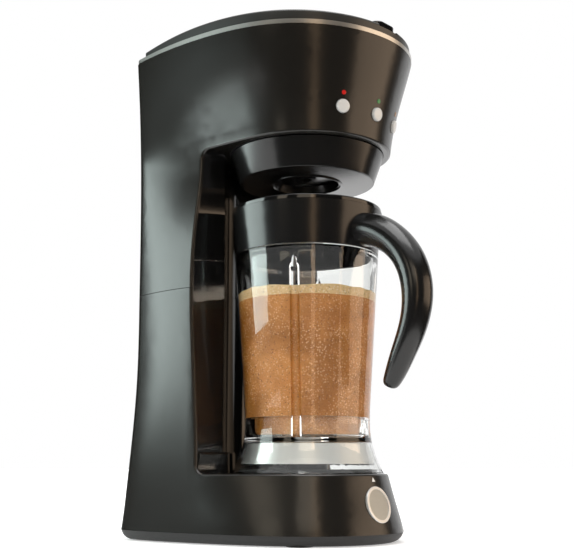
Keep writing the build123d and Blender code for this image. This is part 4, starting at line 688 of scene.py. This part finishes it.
@dataclass
class Drink:
    """The blended coffee in the jar, with its froth, cut out round the jar's inner ribs.

    Sizes are in millimetres and levels are over the jar's floor. The drink overlaps the jar's wall,
    floor and ribs a little, so that no air shows between them, and stands back under the jar's
    ledge, where the photograph shows clear plastic at the sides.
    """

    wardrobe: Wardrobe
    axis: Vector
    floor: float
    levels: tuple[float, ...] = (-0.1, 2.0, 14.6, 14.7, 21.0, 60.0, 96.2, 98.2)
    radii: tuple[float, ...] = (35.5, 37.5, 38.2, 42.75, 43.0, 45.55, 48.05, 48.18)
    facets: int = 128
    top_rings: int = 5
    top_step: float = 0.16
    froth_depth: float = 6.5
    froth_flare: float = 0.42
    froth_swell: float = 1.6
    rib_radius: float = 3.5
    rib_count: int = 4
    rib_phase: float = 30.0
    rib_reach: float = 42.2
    rib_lean: float = 3.85
    cutter_facets: int = 24
    cutter_length: float = 160.0
    cutter_drop: float = 10.0

    def build(self) -> None:
        """Models the drink and its froth."""
        self.column("blended_drink", self.levels, self.radii, DRINK, 0.0)
        top = self.levels[-1]
        radius = self.radii[-1]
        levels = (top, top + self.froth_depth / 2, top + self.froth_depth)
        radii = (radius, radius + self.froth_flare / 2, radius + self.froth_flare)
        self.column("drink_froth", levels, radii, FROTH, self.froth_swell)

    def column(self, name: str, levels: tuple[float, ...], radii: tuple[float, ...],
               finish: Frappe, swell: float) -> None:
        """Models one round column of drink, ring by ring, and cuts the ribs out of it.

        Args:
            name: The piece's name.
            levels: Ring levels over the jar's floor, in millimetres.
            radii: Ring radii, in millimetres.
            finish: The drink's finish.
            swell: How far the top's lumps stand up, in millimetres.
        """
        deselect()
        foot = Vector((self.axis.x, self.axis.y, self.floor + levels[0] * MM))
        bpy.ops.mesh.primitive_circle_add(vertices=self.facets, radius=radii[0] * MM,
                                          fill_type="NGON", location=foot)
        piece = bpy.context.object
        piece.name = name
        bpy.ops.object.mode_set(mode="EDIT")
        bpy.ops.mesh.select_all(action="SELECT")
        centre = Vector((self.axis.x, self.axis.y, 0))
        for step in range(1, len(levels)):
            rise = (levels[step] - levels[step - 1]) * MM
            bpy.ops.mesh.extrude_region_move(TRANSFORM_OT_translate={"value": (0, 0, rise)})
            centre.z = self.floor + levels[step] * MM
            scale = radii[step] / radii[step - 1]
            bpy.ops.transform.resize(value=(scale, scale, 1), center_override=centre)
        for _ in range(self.top_rings):
            bpy.ops.mesh.inset(thickness=radii[-1] * MM * self.top_step)
        bpy.ops.mesh.select_all(action="SELECT")
        bpy.ops.mesh.normals_make_consistent(inside=False)
        bpy.ops.object.mode_set(mode="OBJECT")
        settle(piece)
        if swell:
            self.ripple(piece, swell)
        for rib in range(self.rib_count):
            self.carve(piece, self.rib_phase + rib * 360 / self.rib_count)
        smooth(piece, DRINK_CREASE)
        self.wardrobe.paint(piece, finish)
        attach(piece, Body.JAR.value)
        LOG.info("modelled %s", name)

    @staticmethod
    def ripple(piece: bpy.types.Object, swell: float) -> None:
        """Lifts the froth's top in broad lumps with finer ones over them.

        Args:
            piece: The froth.
            swell: The lumps' height, in millimetres.
        """
        top = max(vertex.co.z for vertex in piece.data.vertices)
        for vertex in piece.data.vertices:
            if vertex.co.z > top - TOP_REACH:
                x = vertex.co.x / MM
                y = vertex.co.y / MM
                broad = math.sin(x * 0.11 + 0.6) * math.cos(y * 0.09)
                fine = 0.35 * math.sin(x * 0.4 + y * 0.33)
                vertex.co.z += swell * (broad + fine) * 0.5 * MM

    def carve(self, piece: bpy.types.Object, angle: float) -> None:
        """Cuts one rib's groove out of the drink.

        Args:
            piece: The drink or the froth.
            angle: The rib's place round the jar, in degrees from +X.
        """
        deselect()
        turn = math.radians(angle)
        reach = self.rib_reach * MM
        foot = Vector((self.axis.x + reach * math.cos(turn),
                       self.axis.y + reach * math.sin(turn), self.floor))
        length = self.cutter_length * MM
        bpy.ops.mesh.primitive_cylinder_add(vertices=self.cutter_facets, depth=length,
                                            radius=self.rib_radius * MM, location=(0, 0, 0))
        cutter = bpy.context.object
        lean = Matrix.Rotation(math.radians(self.rib_lean), 4, "Y")
        aim = Matrix.Rotation(turn, 4, "Z") @ lean
        raised = Matrix.Translation((0, 0, length / 2 - self.cutter_drop * MM))
        cutter.matrix_world = Matrix.Translation(foot) @ aim @ raised
        cut = piece.modifiers.new("rib_groove", "BOOLEAN")
        cut.operation = "DIFFERENCE"
        cut.solver = "EXACT"
        cut.object = cutter
        choose(piece)
        bpy.ops.object.modifier_apply(modifier=cut.name)
        bpy.data.objects.remove(cutter)


@dataclass
class Marks:
    """Small generic marks: the arrow that the jar lines up with, and the light lenses.

    Sizes are in millimetres. The base's front leans back from nose_low, at foot_level, by
    front_fall over front_rise.
    """

    wardrobe: Wardrobe
    frame: dict
    nose_low: float = 67.3
    foot_level: float = 7.3
    front_fall: float = 10.4
    front_rise: float = 39.5
    arrow_level: float = 42.6
    arrow_radius: float = 2.0
    arrow_thickness: float = 0.35
    arrow_sink: float = 0.25

    def build(self) -> None:
        """Models the marks."""
        self.arrow()
        self.lenses()

    def arrow(self) -> None:
        """A small printed arrow at the front of the base's top edge."""
        slope = self.front_fall / self.front_rise
        nose = self.nose_low - (self.arrow_level - self.foot_level) * slope
        spot = Vector((centre_of("badge_ring").x, centre_of("jar_seat_ring").y - nose * MM,
                       self.arrow_level * MM))
        deselect()
        bpy.ops.mesh.primitive_circle_add(vertices=3, radius=self.arrow_radius * MM,
                                          fill_type="NGON", location=(0, 0, 0))
        piece = bpy.context.object
        piece.name = "jar_arrow_mark"
        bpy.ops.object.mode_set(mode="EDIT")
        bpy.ops.mesh.select_all(action="SELECT")
        rise = (0, 0, self.arrow_thickness * MM)
        bpy.ops.mesh.extrude_region_move(TRANSFORM_OT_translate={"value": rise})
        bpy.ops.mesh.select_all(action="SELECT")
        bpy.ops.mesh.normals_make_consistent(inside=False)
        bpy.ops.object.mode_set(mode="OBJECT")
        tilt = Matrix.Rotation(math.radians(90) - math.atan(slope), 4, "X")
        sunk = Matrix.Translation((0, 0, -self.arrow_sink * MM))
        piece.matrix_world = Matrix.Translation(spot) @ tilt @ sunk
        settle(piece)
        self.wardrobe.paint(piece, MARK)
        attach(piece, Body.HOUSING.value)
        LOG.info("modelled %s", piece.name)

    def lenses(self) -> None:
        """Three tinted lenses over the light pipes' ends, one colour each, with painted glow."""
        source = self.frame["nodes"]["light_pipes"]
        copy = bpy.data.objects.new("lens_all", source.data.copy())
        bpy.context.scene.collection.objects.link(copy)
        choose(copy)
        bpy.ops.object.mode_set(mode="EDIT")
        bpy.ops.mesh.select_all(action="SELECT")
        bpy.ops.mesh.remove_doubles(threshold=MERGE_REACH)
        bpy.ops.mesh.separate(type="LOOSE")
        bpy.ops.object.mode_set(mode="OBJECT")
        pieces = sorted(bpy.context.selected_objects, key=lambda item: item.bound_box[0][0])
        finishes = (RED_PAINTED_GLOW_LENS, GREEN_PAINTED_GLOW_LENS, AMBER_PAINTED_GLOW_LENS)
        for piece, finish, label in zip(pieces, finishes, ("power", "brew", "blend")):
            piece.name = label + "_lens"
            smooth(piece, LENS_CREASE)
            self.wardrobe.paint(piece, finish)
            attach(piece, Body.HOUSING.value)
            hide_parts("light_pipes")
            LOG.info("modelled %s", piece.name)


@dataclass(frozen=True)
class SoftBox:
    """One soft rectangular lamp, aimed at a place on the object."""

    name: str
    place: Point
    aim: Point
    width: float
    height: float
    watts: float
    colour: Colour = (1.0, 1.0, 1.0)

    def build(self) -> None:
        """Adds the lamp."""
        lamp = bpy.data.lights.new(self.name, "AREA")
        lamp.shape = "RECTANGLE"
        lamp.size = self.width
        lamp.size_y = self.height
        lamp.energy = self.watts
        lamp.color = self.colour
        holder = bpy.data.objects.new(self.name, lamp)
        bpy.context.scene.collection.objects.link(holder)
        place = Vector(self.place)
        holder.location = place
        holder.rotation_euler = (Vector(self.aim) - place).to_track_quat("-Z", "Y").to_euler()


@dataclass(frozen=True)
class Flag:
    """One black card, curved round the object's middle, that only gloss sees.

    It runs from the start angle to the end angle, in degrees from +X. Its lower edge has the inner
    radius and the low level, its upper edge the outer radius and the high level, in metres.
    """

    name: str
    start: float
    end: float
    inner: float
    outer: float
    low: float
    high: float
    steps: int = 24
    speck: float = 0.001
    felt: Colour = (0.01, 0.01, 0.01)

    def build(self) -> None:
        """Sets the card up."""
        deselect()
        turn = math.radians(self.start)
        outward = Vector((math.cos(turn), math.sin(turn), 0))
        corner = outward * self.inner + Vector((0, 0, self.low))
        reach = outward * (self.outer - self.inner) + Vector((0, 0, self.high - self.low))
        bpy.ops.mesh.primitive_circle_add(vertices=3, radius=self.speck, fill_type="NOTHING",
                                          location=corner)
        card = bpy.context.object
        card.name = self.name
        bpy.ops.object.mode_set(mode="EDIT")
        bpy.ops.mesh.select_all(action="SELECT")
        bpy.ops.mesh.merge(type="CENTER")
        bpy.ops.mesh.select_all(action="SELECT")
        bpy.ops.mesh.extrude_region_move(TRANSFORM_OT_translate={"value": reach})
        bpy.ops.mesh.select_all(action="SELECT")
        sweep = math.radians(self.start - self.end)
        bpy.ops.mesh.spin(steps=self.steps, angle=sweep, center=(0, 0, 0), axis=(0, 0, 1))
        bpy.ops.object.mode_set(mode="OBJECT")
        settle(card)
        card.data.materials.append(self.material())
        card.visible_camera = False
        card.visible_diffuse = False
        card.visible_transmission = False
        card.visible_shadow = False

    def material(self) -> bpy.types.Material:
        """Black felt."""
        recipe = Recipe(self.name)
        recipe.set(Base_Color=opaque(self.felt), Roughness=1.0, Specular_IOR_Level=0.0)
        return recipe.made


LAMPS = (
    SoftBox("left_card", place=(-0.48, 0.465, 0.3), aim=(-0.07, 0.07, 0.25), width=0.45,
            height=0.26, watts=2.5, colour=(0.84, 0.98, 0.95)),
    SoftBox("low_card", place=(-1.55, -0.1, 0.62), aim=(-0.05, -0.02, 0.05), width=0.4, height=0.4,
            watts=1.0, colour=(1.0, 0.88, 0.7)),
    SoftBox("brow_card", place=(-1.06, -0.84, 0.75), aim=(0, 0, 0.03), width=0.6, height=0.36,
            watts=1.4, colour=(1.0, 0.86, 0.68)),
    SoftBox("right_card", place=(0.78, -1.36, 0.3), aim=(0, 0, 0.2), width=1.46, height=0.9,
            watts=9.0, colour=(1.0, 0.74, 0.52)),
    SoftBox("strip_card", place=(-0.875, -1.03, 0.42), aim=(0, 0, 0.25), width=0.16, height=0.9,
            watts=1.0, colour=(1.0, 0.68, 0.42)),
    SoftBox("top_light", place=(-0.2, -0.3, 1.9), aim=(0, 0, 0), width=1.4, height=1.4, watts=26.0),
)

FLAGS = (
    Flag("front_flag", start=60.0, end=345.0, inner=2.2, outer=2.2, low=-0.01, high=2.0),
    Flag("head_flag", start=115.0, end=185.0, inner=0.2, outer=0.2, low=0.3, high=0.39),
    Flag("floor_flag", start=172.0, end=345.0, inner=0.35, outer=2.2, low=0.001, high=0.001),
)


WHITE_LIGHT = (1.0, 1.0, 1.0, 1.0)


@dataclass
class Studio:
    """A pale floor, a white surround, soft lamps, black cards and the photograph's camera.

    The eye is in metres from the jar's axis, the angles are in degrees, and the floor glows from
    glow_near at fade_near to glow_far at fade_far, in metres from its middle.
    """

    axis: Vector
    eye: Point = (-0.5662, -0.4804, 0.0509)
    heading: float = 48.54
    pitch: float = 10.57
    focal_px: float = 1022.1
    width_px: float = 574.0
    sensor: float = 36.0
    nearest: float = 0.01
    surround: float = 0.42
    floor_size: float = 60.0
    floor_colour: Colour = (0.85, 0.85, 0.85)
    floor_roughness: float = 0.8
    fade_near: float = 0.12
    fade_far: float = 0.9
    glow_near: float = 0.45
    glow_far: float = 0.95

    def build(self) -> None:
        """Sets the whole studio up."""
        self.world()
        self.floor()
        for item in (*LAMPS, *FLAGS):
            item.build()
        self.camera()
        bpy.context.scene.view_settings.view_transform = "Standard"

    @staticmethod
    def seen(nodes: bpy.types.Nodes, links: bpy.types.NodeLinks) -> bpy.types.NodeSocket:
        """One where a ray comes from the camera, from gloss or through glass, and nought elsewhere.

        Args:
            nodes: The node tree's nodes.
            links: The node tree's links.

        Returns:
            The socket that carries the value.
        """
        path = nodes.new("ShaderNodeLightPath")
        first = nodes.new("ShaderNodeMath")
        first.operation = "MAXIMUM"
        links.new(path.outputs["Is Camera Ray"], first.inputs[0])
        links.new(path.outputs["Is Transmission Ray"], first.inputs[1])
        second = nodes.new("ShaderNodeMath")
        second.operation = "MAXIMUM"
        links.new(first.outputs[0], second.inputs[0])
        links.new(path.outputs["Is Glossy Ray"], second.inputs[1])
        return second.outputs[0]

    def world(self) -> None:
        """White where the camera, glass or gloss looks past the object, and grey as light."""
        world = bpy.data.worlds.new("studio")
        bpy.context.scene.world = world
        world.use_nodes = True
        nodes, links = world.node_tree.nodes, world.node_tree.links
        back = nodes["Background"]
        strength = nodes.new("ShaderNodeMapRange")
        strength.inputs["To Min"].default_value = self.surround
        strength.inputs["To Max"].default_value = 1.0
        links.new(self.seen(nodes, links), strength.inputs["Value"])
        back.inputs["Color"].default_value = WHITE_LIGHT
        links.new(strength.outputs["Result"], back.inputs["Strength"])

    def floor(self) -> None:
        """A wide pale floor that keeps the object's shadow, and brightens to white away from it."""
        deselect()
        bpy.ops.mesh.primitive_plane_add(size=self.floor_size, location=(0, 0, 0))
        ground = bpy.context.object
        ground.name = "studio_floor"
        recipe = Recipe("pale_floor")
        recipe.set(Roughness=self.floor_roughness, Base_Color=opaque(self.floor_colour),
                   Emission_Color=WHITE_LIGHT)
        place = recipe.add("TexCoord")
        reach = recipe.add("VectorMath")
        reach.operation = "LENGTH"
        fade = recipe.add("MapRange", From_Min=self.fade_near, From_Max=self.fade_far,
                          To_Min=self.glow_near, To_Max=self.glow_far)
        glow = recipe.add("Math")
        glow.operation = "MULTIPLY"
        links = recipe.links
        links.new(place.outputs["Object"], reach.inputs[0])
        links.new(reach.outputs["Value"], fade.inputs["Value"])
        links.new(fade.outputs["Result"], glow.inputs[0])
        links.new(self.seen(recipe.nodes, links), glow.inputs[1])
        links.new(glow.outputs[0], recipe.shader.inputs["Emission Strength"])
        ground.data.materials.append(recipe.made)

    def camera(self) -> None:
        """The photograph's camera: low, on the left of the front, looking up a little."""
        data = bpy.data.cameras.new("photo_camera")
        data.sensor_width = self.sensor
        data.lens = self.focal_px / self.width_px * self.sensor
        data.clip_start = self.nearest
        holder = bpy.data.objects.new("photo_camera", data)
        bpy.context.scene.collection.objects.link(holder)
        holder.location = Vector(self.eye) + self.axis
        turn = Matrix.Rotation(math.radians(-self.heading), 3, "Z")
        tilt = Matrix.Rotation(math.radians(90 + self.pitch), 3, "X")
        holder.rotation_euler = (turn @ tilt).to_euler()
        bpy.context.scene.camera = holder


def main() -> None:
    """Builds the scene, piece by piece."""
    logging.basicConfig(level=logging.INFO, format="%(name)s: %(message)s")
    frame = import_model()
    deselect()
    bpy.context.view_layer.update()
    wardrobe = Wardrobe(frame, Groups.build())
    wardrobe.dress()
    axis = centre_of("jar_seat_ring")
    axis.z = 0.0
    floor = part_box("floor_nut")[0].z
    Drink(wardrobe, axis, floor).build()
    Marks(wardrobe, frame).build()
    Studio(axis).build()


if __name__ == "__main__":
    main()
